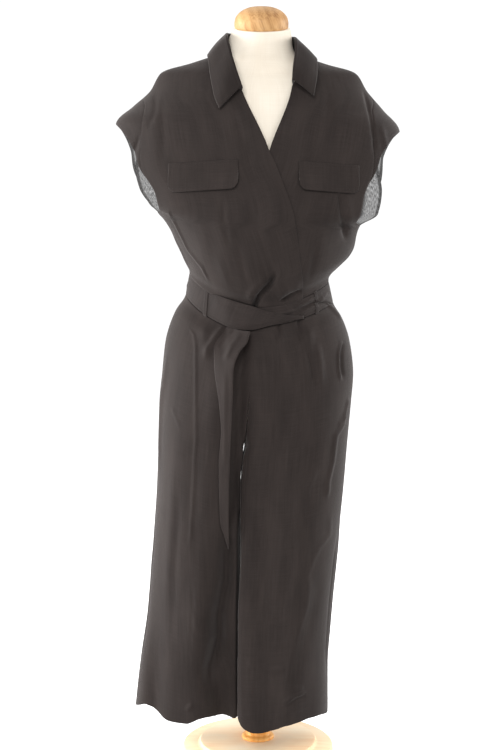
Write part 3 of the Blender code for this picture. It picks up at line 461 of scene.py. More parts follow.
bodice = dict(
    # zRight, zLeft, zFront, zBack, right, left, front, back, fullness, waist seam to neck
    rows=(
        (1.016, 1.0, 0.96, 1.012, 0.1435, 0.1475, 0.1, 0.101, 2.0),
        (1.042, 1.026, 0.986, 1.038, 0.1425, 0.1462, 0.101, 0.101, 2.0),
        (1.06, 1.05, 1.008, 1.058, 0.148, 0.162, 0.113, 0.106, 2.0),
        (1.085, 1.076, 1.04, 1.085, 0.158, 0.187, 0.122, 0.11, 2.0),
        (1.115, 1.1, 1.082, 1.112, 0.173, 0.199, 0.128, 0.115, 2.0),
        (1.161, 1.134, 1.135, 1.15, 0.204, 0.209, 0.132, 0.12, 2.0),
        (1.185, 1.162, 1.167, 1.18, 0.25, 0.272, 0.133, 0.123, 2.0),
        (1.215, 1.198, 1.207, 1.212, 0.28, 0.285, 0.132, 0.126, 2.0),
        (1.265, 1.25, 1.265, 1.262, 0.3, 0.298, 0.127, 0.128, 2.0),
        (1.345, 1.33, 1.345, 1.34, 0.292, 0.29, 0.113, 0.122, 2.0),
        (1.38, 1.372, 1.375, 1.375, 0.256, 0.256, 0.104, 0.115, 1.9),
        (1.41, 1.41, 1.405, 1.405, 0.222, 0.223, 0.092, 0.105, 1.75),
        (1.449, 1.447, 1.44, 1.44, 0.197, 0.199, 0.074, 0.09, 1.5),
        (1.4665, 1.4645, 1.457, 1.458, 0.14, 0.142, 0.0635, 0.079, 1.52),
        (1.4835, 1.4815, 1.466, 1.468, 0.086, 0.088, 0.06, 0.071, 1.85),
    ),
    # place, and the angle from the side line to the armhole: right front, right back, left front, left back
    armhole=(
        (5.0, 0.0, 0.0, 0.0, 0.0),
        (5.4, 26.0, 12.0, 31.0, 7.0),
        (6.0, 36.4, 22.5, 40.5, 21.5),
        (7.0, 41.4, 26.8, 41.4, 24.2),
        (8.0, 37.8, 31.1, 38.8, 32.0),
        (9.0, 36.7, 34.0, 36.7, 34.0),
        (10.0, 25.5, 25.5, 25.5, 25.5),
        (11.0, 0.0, 0.0, 0.0, 0.0),
        (14.0, 0.0, 0.0, 0.0, 0.0),
    ),
    underarm=5, capFront=8, capTip=9, capTop=11,
    # free edge of each front: z, x
    upperEdge=((1.48, -0.076), (1.449, -0.067), (1.409, -0.032), (1.294, 0.02), (1.226, 0.0495),
               (1.162, 0.071), (1.097, 0.08), (1.023, 0.0885), (0.95, 0.0898)),
    lowerEdge=((1.48, 0.083), (1.449, 0.079), (1.42, 0.067), (1.294, 0.022), (1.226, -0.008),
               (1.162, -0.032), (1.097, -0.047), (1.023, -0.054), (0.95, -0.0549)),
    upperEnd=52.5, lowerEnd=112.5, lapShare=3 / 17, lapTurn=12, capRise=3,
    # top x, z, bottom x, z, height, half width
    folds=(
        (-0.074, 1.2, -0.06, 1.03, 0.003, 0.022),
        (0.034, 1.085, 0.0, 0.985, -0.005, 0.016),
        (0.05, 1.08, 0.045, 0.985, 0.0036, 0.02),
        (0.165, 1.21, 0.185, 1.08, -0.003, 0.014),
        (-0.12, 1.18, -0.105, 1.04, 0.0026, 0.02),
        (0.13, 1.16, 0.12, 1.04, 0.0034, 0.024),
    ),
    rowsDown=180, columnsFront=132, columnsBack=110, height=0.53, frontWidth=0.3, backWidth=0.42,
    waistRows=0.12, waistRun=0.065,  # share of the rows near the waist, and the share of the height there
    thinFrom=0.1, thinBlend=0.4, thinTop=1.5,
    creases=(
        ("front", -0.011, 0.0046, 0.25, ((0.036, 1.053), (0.0211, 1.0245), (0.0011, 1.0018), (-0.0079, 0.98),
            (-0.012, 0.955))),
        ("front", 0.004, 0.008, 0.3, ((0.018, 1.05), (0.004, 1.03), (-0.014, 1.01), (-0.022, 0.99))),
        ("front", -0.0056, 0.004, 0.25, ((0.04, 0.987), (0.0678, 1.0047), (0.0904, 1.0138))),
        ("front", 0.0032, 0.0085, 0.3, ((0.034, 1.003), (0.06, 1.018), (0.09, 1.028))),
        ("front", -0.0018, 0.0055, 0.3, ((-0.0712, 1.199), (-0.0692, 1.156), (-0.0577, 1.096))),
        ("front", -0.0018, 0.009, 0.35, ((-0.052, 1.375), (-0.0368, 1.3283), (-0.02, 1.285), (-0.01, 1.24))),
        ("front", -0.004, 0.0045, 0.2, ((0.1605, 1.212), (0.1685, 1.158), (0.1771, 1.108))),
        ("front", 0.0022, 0.008, 0.25, ((0.176, 1.206), (0.183, 1.16), (0.188, 1.11))),
        ("front", -0.0028, 0.0042, 0.2, ((0.213, 1.42), (0.2164, 1.4027), (0.2247, 1.3623), (0.2321, 1.3125),
            (0.2321, 1.2787))),
        ("front", -0.0013, 0.006, 0.3, ((-0.2075, 1.412), (-0.2074, 1.366), (-0.2256, 1.328))),
        ("front", -0.001, 0.008, 0.3, ((-0.1945, 1.405), (-0.1886, 1.33), (-0.19, 1.262))),
        ("front", -0.0018, 0.009, 0.4, ((0.1387, 1.425), (0.1374, 1.35), (0.13, 1.29))),
        ("front", -0.0012, 0.008, 0.4, ((0.1135, 1.345), (0.1135, 1.282))),
        ("front", 0.0026, 0.0024, 0.15, ((-0.1983, 1.1701), (-0.1794, 1.1691), (-0.1706, 1.1544),
            (-0.1407, 1.0929), (-0.112, 1.058), (-0.0964, 1.0258))),
        ("front", -0.001, 0.008, 0.4, ((-0.02, 1.195), (0.01, 1.11), (0.022, 1.07))),
        ("front", 0.0012, 0.01, 0.4, ((0.04, 1.205), (0.05, 1.12), (0.058, 1.06))),
        ("front", -0.0014, 0.006, 0.4, ((-0.045, 1.12), (-0.03, 1.06), (-0.025, 1.02))),
        ("front", 0.0014, 0.008, 0.4, ((-0.085, 1.095), (-0.066, 1.04), (-0.055, 1.01))),
        ("front", -0.0018, 0.0055, 0.4, ((0.118, 1.12), (0.108, 1.06), (0.1, 1.025))),
        # the hidden back: blousing over the belt, and the drag from the shoulder blades
        ("back", 0.0045, 0.015, 0.35, ((-0.1, 1.18), (-0.072, 1.1), (-0.062, 1.05))),
        ("back", -0.004, 0.008, 0.35, ((-0.07, 1.17), (-0.05, 1.1), (-0.044, 1.045))),
        ("back", 0.004, 0.012, 0.35, ((-0.02, 1.14), (-0.014, 1.09), (-0.016, 1.045))),
        ("back", -0.0035, 0.007, 0.35, ((0.012, 1.16), (0.01, 1.1), (0.016, 1.045))),
        ("back", 0.0045, 0.014, 0.35, ((0.06, 1.19), (0.05, 1.11), (0.046, 1.05))),
        ("back", -0.004, 0.008, 0.35, ((0.105, 1.19), (0.084, 1.11), (0.075, 1.045))),
        ("back", -0.0028, 0.011, 0.4, ((-0.185, 1.3), (-0.14, 1.24), (-0.125, 1.16))),
        ("back", -0.0025, 0.011, 0.4, ((0.19, 1.31), (0.15, 1.24), (0.13, 1.15))),
        ("back", 0.0022, 0.013, 0.4, ((-0.06, 1.4), (-0.09, 1.33), (-0.1, 1.25))),
        ("back", 0.002, 0.014, 0.4, ((0.05, 1.4), (0.085, 1.32), (0.09, 1.24))),
        ("right", -0.003, 0.006, 0.35, ((0.03, 1.15), (0.012, 1.09), (0.02, 1.045))),
        ("right", 0.003, 0.008, 0.35, ((-0.02, 1.13), (-0.03, 1.08), (-0.026, 1.045))),
        ("left", -0.003, 0.006, 0.35, ((0.04, 1.12), (0.03, 1.07), (0.034, 1.035))),
        ("left", 0.0035, 0.008, 0.35, ((0.0, 1.115), (0.006, 1.07), (0.0, 1.03))),
    ),
)


def bodiceSurface(place, turn):
    row = rowsAt(bodice["rows"], place)
    zRight, zLeft, zFront, zBack, right, left, front, back, fullness = np.moveaxis(row, -1, 0)
    cos, sin = np.cos(np.radians(turn)), np.sin(np.radians(turn))
    x = np.where(cos > 0, left, right) * signedPower(cos, fullness)
    y = -np.where(sin > 0, front, back) * signedPower(sin, fullness)
    zMiddle = np.where(sin > 0, zFront, zBack)
    z = zMiddle + (np.where(cos > 0, zLeft, zRight) - zMiddle) * cos * cos
    y = y - np.where(sin > 0, foldHeight(bodice["folds"], x, z, swelling) * ease(2 * sin), 0.0)
    return np.stack([x, y, z], axis=-1)


belt = dict(
    # turn, top, bottom, how far its outer face stands off the cloth at its top and its bottom, bulge between
    rows=(
        (104.0, 0.017, -0.019, 0.003, 0.003, 0.0),
        (60.0, 0.018, -0.02, 0.001, 0.0024, 0.0008),
        (30.0, 0.0195, -0.02, 0.0002, 0.0012, 0.0003),
        (0.0, 0.02, -0.02, 0.0004, 0.0006, 0.0),
        (-30.0, 0.022, -0.022, 0.0008, 0.001, 0.0),
        (-90.0, 0.0235, -0.0235, 0.0012, 0.0014, 0.0),
        (-150.0, 0.0225, -0.0215, 0.0008, 0.0008, 0.0),
        (-180.0, 0.0212, -0.02, 0.0004, 0.0004, 0.0),
        (-196.0, 0.0206, -0.023, 0.0002, 0.0, 0.0),
        (-212.0, 0.0195, -0.0268, 0.0003, -0.0001, 0.0),
        (-227.5, 0.0174, -0.0296, 0.0012, -0.0001, 0.0004),
        (-237.0, 0.0235, -0.0305, 0.0034, 0.001, 0.002),
        (-247.5, 0.0248, -0.0312, 0.0058, 0.005, 0.0026),
        (-262.0, 0.0219, -0.0291, 0.006, 0.0056, 0.0024),
        (-281.0, 0.0066, -0.0194, 0.006, 0.0056, 0.0018),
        (-294.0, -0.0046, -0.0166, 0.006, 0.0056, 0.0012),
        (-306.6, -0.0142, -0.0212, 0.0058, 0.0054, 0.0),
    ),
    sinks=0.002, sinkWidth=0.0024, sinkPast=0.65,  # how far it presses in the cloth beneath it
    thick=0.0009, columns=420, rowsUp=24, loopTurns=(-223.2, 38.0, -134.0, -42.0), loopWidth=0.0095,
    loopCloth=0.0004, loopReach=0.0036, loopRadius=0.135, loopBow=0.0002, loopSink=0.0004,
    height=0.047, sewing=0.005,
    # on its under layer: turn and share of the height at the start and end, height, half width
    wrinkles=(
        (58, 1.02, 10, -0.02, 0.0044, 0.09),
        (50, 0.8, 8, -0.2, -0.0026, 0.1),
        (96, 0.22, 30, 0.6, -0.0034, 0.09),
        (92, 0.48, 36, 0.86, 0.003, 0.1),
        (84, 0.86, 24, 0.3, -0.003, 0.08),
        (60, 0.3, 6, 0.72, 0.0024, 0.1),
        (30, 0.75, 4, 0.4, -0.002, 0.12),
        (-10, 0.25, -48, 0.6, 0.0018, 0.14),
        (-40, 0.75, -75, 0.45, -0.0018, 0.13),
        (-85, 0.3, -112, 0.62, 0.0016, 0.14),
        (-120, 0.7, -158, 0.4, -0.0016, 0.13),
        (-160, 0.3, -200, 0.55, 0.0012, 0.14),
        (-236, 0.85, -286, 0.42, -0.001, 0.07),
        (-240, 0.15, -276, 0.28, 0.001, 0.08),
    ),
)


def underBelt(points):  # how far the cloth is pressed in where the belt lies on it
    row = bodice["rows"][0]
    x, y, z = np.moveaxis(points, -1, 0)
    depth, reach = np.where(y < 0, row[6], row[7]), np.where(x > 0, row[5], row[4])
    turn = np.degrees(np.arctan2(-y / depth, x / reach)) % 360
    waist = bodiceSurface(np.zeros_like(turn), turn)[..., 2]
    pressed = np.zeros_like(turn)
    first, last = belt["rows"][0][0], belt["rows"][-1][0]
    for layer in (turn, turn - 360):
        _, top, bottom, *_ = np.moveaxis(atKey(belt["rows"], np.clip(layer, last, first)), -1, 0)
        inward = np.minimum(waist + top - z, z - waist - bottom) + belt["sinkPast"] * belt["sinkWidth"]
        pressed = np.maximum(pressed, ease(inward / belt["sinkWidth"]) * (layer <= first) * (layer >= last))
    return belt["sinks"] * pressed


def belted(points, normals):
    return points - normals * underBelt(points)[..., None]


def outward(surface, place, angle, last, hand):
    low, high = np.maximum(place - 0.02, 0.0), np.minimum(place + 0.02, last)
    along = surface(high, angle) - surface(low, angle)
    around = surface(place, angle + 0.5) - surface(place, angle - 0.5)
    return unit(np.cross(around, along) * hand)


# Cloth pieces are grids on a surface, lifted by their creases, with a thin wall behind them.

pieces, cuts = {}, {}


edgeSteps = (0.0, 0.0008, 0.0018, 0.0032, 0.0052, 0.0078)


def edgedShares(count, width):  # shares of a width, closer together at both edges
    *near, clear = np.array(edgeSteps) / width
    even = np.linspace(clear, 1 - clear, count + 1 - 2 * len(near))
    return np.concatenate([near, even, 1 - np.array(near[::-1])])


def waistShares(count, width, share, run):  # a share of the rows in a shorter run, by the waist
    return np.interp(edgedShares(count, width), (0, share, 1), (0, run, 1))


def evenPlaces(surface, angle, first, last, shares):
    fine = np.linspace(first, last, 400)
    line = surface(fine, np.full(fine.shape, angle))
    run = np.concatenate([[0.0], np.cumsum(np.linalg.norm(np.diff(line, axis=0), axis=1))])
    return np.interp(shares * run[-1], run, fine)


def evenAngles(surface, places, first, last, shares):
    near = np.geomspace(1e-10, 10, 60)  # a squarish section moves fastest as its turn passes 90
    crossing = np.sign(first + last)[:, None] * 90 + np.concatenate([-near, near])
    extra = np.clip((crossing - first[:, None]) / (last - first)[:, None], 0, 1)
    steps = np.sort(np.hstack([np.tile(np.linspace(0, 1, 161), (len(places), 1)), extra]), axis=1)
    fine = first[:, None] + (last - first)[:, None] * steps
    line = surface(np.repeat(places[:, None], fine.shape[1], 1), fine)
    steps = np.linalg.norm(np.diff(line, axis=1), axis=2)
    run = np.concatenate([np.zeros((len(places), 1)), np.cumsum(steps, axis=1)], axis=1)
    return np.array([np.interp(shares * way[-1], way, turns) for way, turns in zip(run, fine)])


def runs(points, axis):
    steps = np.linalg.norm(np.diff(points, axis=axis), axis=2)
    start = np.zeros_like(np.take(steps, [0], axis=axis))
    return np.concatenate([start, np.cumsum(steps, axis=axis)], axis=axis)


def gridNormals(points):
    along, across = np.gradient(points, axis=0), np.gradient(points, axis=1)
    return unit(np.cross(across, along))


def readPoints(mesh):
    flat = np.empty(len(mesh.vertices) * 3)
    mesh.vertices.foreach_get("co", flat)
    return flat.reshape(-1, 3)


def layCut(mesh, cut):  # the flat cloth in metres, as a UV map
    corner = np.empty(len(mesh.loops), int)
    mesh.loops.foreach_get("vertex_index", corner)
    mesh.uv_layers.new(name="cut").data.foreach_set("uv", cut[corner].ravel())


def makeSheet(name, points, normals, node, thick=sizes["cloth"], thin=None, inside=reverse, finish=outside):
    rows, columns = points.shape[0] - 1, points.shape[1] - 1
    bm = bmesh.new()
    bmesh.ops.create_grid(bm, x_segments=columns, y_segments=rows, size=0.5)
    mesh = meshFrom(bm, name)
    grid = readPoints(mesh) + 0.5
    row, column = np.rint(grid[:, 1] * rows).astype(int), np.rint(grid[:, 0] * columns).astype(int)
    mesh.vertices.foreach_set("co", points[row, column].ravel())
    across, down = runs(points, 1), runs(points, 0)
    layCut(mesh, np.stack([across - across[:, columns // 2, None], down], axis=-1)[row, column])
    mesh.materials.append(finish)
    mesh.materials.append(inside)
    if thin is not None:  # light comes through a single layer
        mesh.attributes.new("thin", "FLOAT", "POINT").data.foreach_set("value", thin[row, column])
        mesh.materials.append(thinOutside)
        mesh.materials.append(thinReverse)
        for face in mesh.polygons:
            face.material_index = 2 if max(thin[row[k], column[k]] for k in face.vertices) > 0 else 0
    mesh.update()
    facing = sum(
        Vector(normals[row[face.vertices[0]], column[face.vertices[0]]]).dot(face.normal)
        for face in list(mesh.polygons)[:: max(rows * columns // 50, 1)]
    )
    if facing < 0:
        mesh.flip_normals()
    mesh.shade_smooth()
    piece = newPiece(name, mesh)
    wall = piece.modifiers.new("wall", "SOLIDIFY")
    wall.thickness, wall.offset, wall.material_offset = thick, -1.0, 1
    fitPiece(piece, "cloth", node)
    pieces[name] = (piece, points, normals)
    sides = np.cross(points[1:, :-1] - points[:-1, :-1], points[:-1, 1:] - points[:-1, :-1])
    cuts[name] = float(np.linalg.norm(sides, axis=2).sum())


def pressedLine(gap, depth, place=0.0):  # the faint dip of a rim or of a row of sewing
    return -depth * np.exp(-(((gap - place) / sizes["rimWidth"]) ** 2))


def dipAtSeams(points, seams):  # a shallow groove along the edges that are sewn to another piece
    down, across = runs(points, 0), runs(points, 1)
    gaps, depth = (down, down[-1:] - down, across, across[:, -1:] - across), 0.0
    for share, gap in zip(seams, gaps):
        depth = np.maximum(depth, share * np.exp(-((gap / sizes["seamDipWidth"]) ** 2)))
    return -sizes["seamDip"] * depth


def raised(surface, place, angle, last, hand, creases, lift=0.0, seams=(0, 0, 0, 0), straight=None):
    # seams are the shares of the dip at the first and last rows and at the left and right columns
    points = surface(place, angle)
    normals = outward(surface, place, angle, last, hand)
    height = creaseHeight(creases, points, normals) + lift + dipAtSeams(points, seams)
    way = normals
    if straight is not None:  # there the creases only move forward or back
        way = np.where(straight[..., None], np.sign(normals) * (0, 1, 0), normals)
    return points + way * height[..., None], normals


def armholeAngle(place, isLeft, isBack):
    row = atKey(bodice["armhole"], place)
    angle = np.where(isBack, row[..., 2 + 2 * isLeft], row[..., 1 + 2 * isLeft])
    return np.where(np.asarray(place) <= bodice["underarm"], 0.0, np.maximum(angle, 0.0))


def edgeTurns(places, edge):  # turn at which each bodice row meets a front's free edge
    low, high = np.zeros(len(places)), np.full(len(places), 180.0)
    for _ in range(40):
        middle = (low + high) / 2
        point = bodiceSurface(places, middle)
        beyond = point[:, 0] > atKey(edge, point[:, 2])[:, 1]
        low, high = np.where(beyond, middle, low), np.where(beyond, high, middle)
    return (low + high) / 2


sleeve = dict(
    least=0.06, endPlace=7.5, blend=0.26, rowsDown=120, columns=34, width=0.07, hem=0.009,
    open=0.54, thinWidth=0.055, thinFade=0.02, hemThin=0.55, thinFrom=1.05, thinBlend=0.2,
    creases=(
        ("front", -0.0028, 0.0042, 0.2, ((0.213, 1.42), (0.2164, 1.4027), (0.2247, 1.3623), (0.2321, 1.3125),
            (0.2321, 1.2787))),
        ("front", -0.0024, 0.005, 0.3, ((-0.236, 1.33), (-0.25, 1.29), (-0.252, 1.24))),
        ("front", 0.002, 0.006, 0.3, ((0.246, 1.35), (0.258, 1.3), (0.262, 1.25))),
        ("back", -0.0024, 0.007, 0.3, ((-0.24, 1.33), (-0.255, 1.28))),
        ("back", 0.0022, 0.007, 0.3, ((0.235, 1.33), (0.255, 1.28))),
    ),
)


def thinFinish(name, dark, light):  # cloth that is open enough to see the light through it
    finish = clothFinish(name, dark, light, 0.16, 0.2)
    tree = finish.node_tree
    thin = tree.nodes.new("ShaderNodeAttribute")
    thin.attribute_name = "thin"
    uv = tree.nodes.new("ShaderNodeUVMap")
    uv.uv_map = "cut"
    seeing = addGroup(tree, openness, uv.outputs["UV"], Open=sleeve["open"])
    tree.links.new(thin.outputs["Fac"], seeing.inputs["Thin"])
    tree.links.new(seeing.outputs["Alpha"], tree.nodes["Principled BSDF"].inputs["Alpha"])
    return finish


thinOutside = thinFinish("thinCharcoalCloth", (0.0125, 0.0092, 0.0084), (0.03, 0.0235, 0.0218))
thinReverse = thinFinish("thinCharcoalReverse", (0.024, 0.021, 0.02), (0.042, 0.037, 0.036))


def makeBodice():
    last = len(bodice["rows"]) - 1
    down = waistShares(bodice["rowsDown"], bodice["height"], bodice["waistRows"], bodice["waistRun"])
    places = evenPlaces(bodiceSurface, 120.0, 0, last, down)
    upperEnd, lowerEnd = edgeTurns(places, bodice["upperEdge"]), edgeTurns(places, bodice["lowerEdge"])
    upperEnd[0], lowerEnd[0] = bodice["upperEnd"], bodice["lowerEnd"]
    rightFront, rightBack, leftFront, leftBack = (
        armholeAngle(places, isLeft, isBack) for isLeft in (0, 1) for isBack in (0, 1))

    def laid(first, end, shares):
        wide = np.repeat(places[:, None], len(shares), 1)
        return wide, evenAngles(bodiceSurface, places, first, end, shares)

    def panel(wide, turns, lift, seams):
        points, normals = raised(bodiceSurface, wide, turns, last, -1, bodice["creases"], lift, seams)
        return belted(points, normals), normals

    shares = edgedShares(bodice["columnsFront"], bodice["frontWidth"])
    wide, turns = laid(180 - rightFront, upperEnd, shares)
    share = (turns - 180 + rightFront[:, None]) / (upperEnd - 180 + rightFront)[:, None]
    rise = ease((bodice["capTop"] + 1 - wide) / bodice["capRise"])
    lift = sizes["lapLift"] * ease(share / bodice["lapShare"]) * rise
    makeSheet("bodiceFrontRight", *panel(wide, turns, lift, (1, 0, 0.3, 0)), "bodice_front_right")
    wide, turns = laid(leftFront, lowerEnd, shares)
    lift = -sizes["underDrop"] * ease((turns - upperEnd[:, None]) / bodice["lapTurn"])
    makeSheet("bodiceFrontLeft", *panel(wide, turns, lift, (1, 0, 1, 0)), "bodice_front_left")
    shares = edgedShares(bodice["columnsBack"], bodice["backWidth"])
    wide, turns = laid(180 + rightBack, 360 - leftBack, shares)
    points, normals = panel(wide, turns, 0.0, (1, 0, 0.6, 1))
    across = runs(points, 1)
    inside = np.minimum(across, across[:, -1:] - across)  # from the nearer armhole
    thin = np.where(inside < sleeve["hem"], sleeve["hemThin"], 1.0)
    thin = thin * ease((sleeve["thinWidth"] - inside) / sleeve["thinFade"])
    thin = thin * ease((wide - bodice["underarm"] + bodice["thinFrom"]) / bodice["thinBlend"])
    thin = thin * ease((bodice["capTop"] - wide) / bodice["thinTop"])
    makeSheet("bodiceBack", points, normals, "bodice_back", thin=thin)


print("bodice")
makeBodice()


def makeSleeve(name, node, isLeft):  # a crescent from the armhole seam out to its hem
    last = len(bodice["rows"]) - 1
    front, tip, top = bodice["capFront"], bodice["capTip"], bodice["capTop"]
    way = np.linspace(0, 2, sleeve["rowsDown"] + 1)
    isBack = way > 1
    station = front + (top - front) * (1 - np.abs(way - 1))
    along = (station - front) / (top - front)
    hemPlace = front - sleeve["least"] + (tip - front + sleeve["least"]) * along**0.8
    start = armholeAngle(front, isLeft, isBack)
    hemAngle = start * (1 - 0.06 * (1 - along)) * (1 - along**1.5) ** 0.6
    grown, end = ease(along / sleeve["blend"]), sleeve["endPlace"]  # both ends run out along the armhole
    station = end + (station - end) * grown
    hemPlace = end + (hemPlace - end) * grown
    endAngle, seam = armholeAngle(end, isLeft, isBack), armholeAngle(station, isLeft, isBack)
    hemAngle = endAngle + (hemAngle - endAngle) * grown
    shares = edgedShares(sleeve["columns"], sleeve["width"])
    angle = seam[:, None] + (hemAngle - seam)[:, None] * shares
    place = station[:, None] + (hemPlace - station)[:, None] * shares
    turn = np.where(isBack[:, None], -angle, angle)
    if not isLeft:
        turn = 180 - turn
    seams = (0, 0, 1 if isLeft else 0.3, 0)
    points, normals = raised(bodiceSurface, place, turn, last, -1, sleeve["creases"], 0.0, seams)
    fromHem = runs(points, 1)[:, -1:] - runs(points, 1)
    thin = ease((way[:, None] - sleeve["thinFrom"]) / sleeve["thinBlend"])
    thin = thin * np.where(fromHem < sleeve["hem"], sleeve["hemThin"], 1.0)
    makeSheet(name, points, normals, node, thin=thin)


print("sleeves")
makeSleeve("sleeveRight", "sleeve_right", 0)
makeSleeve("sleeveLeft", "sleeve_left", 1)

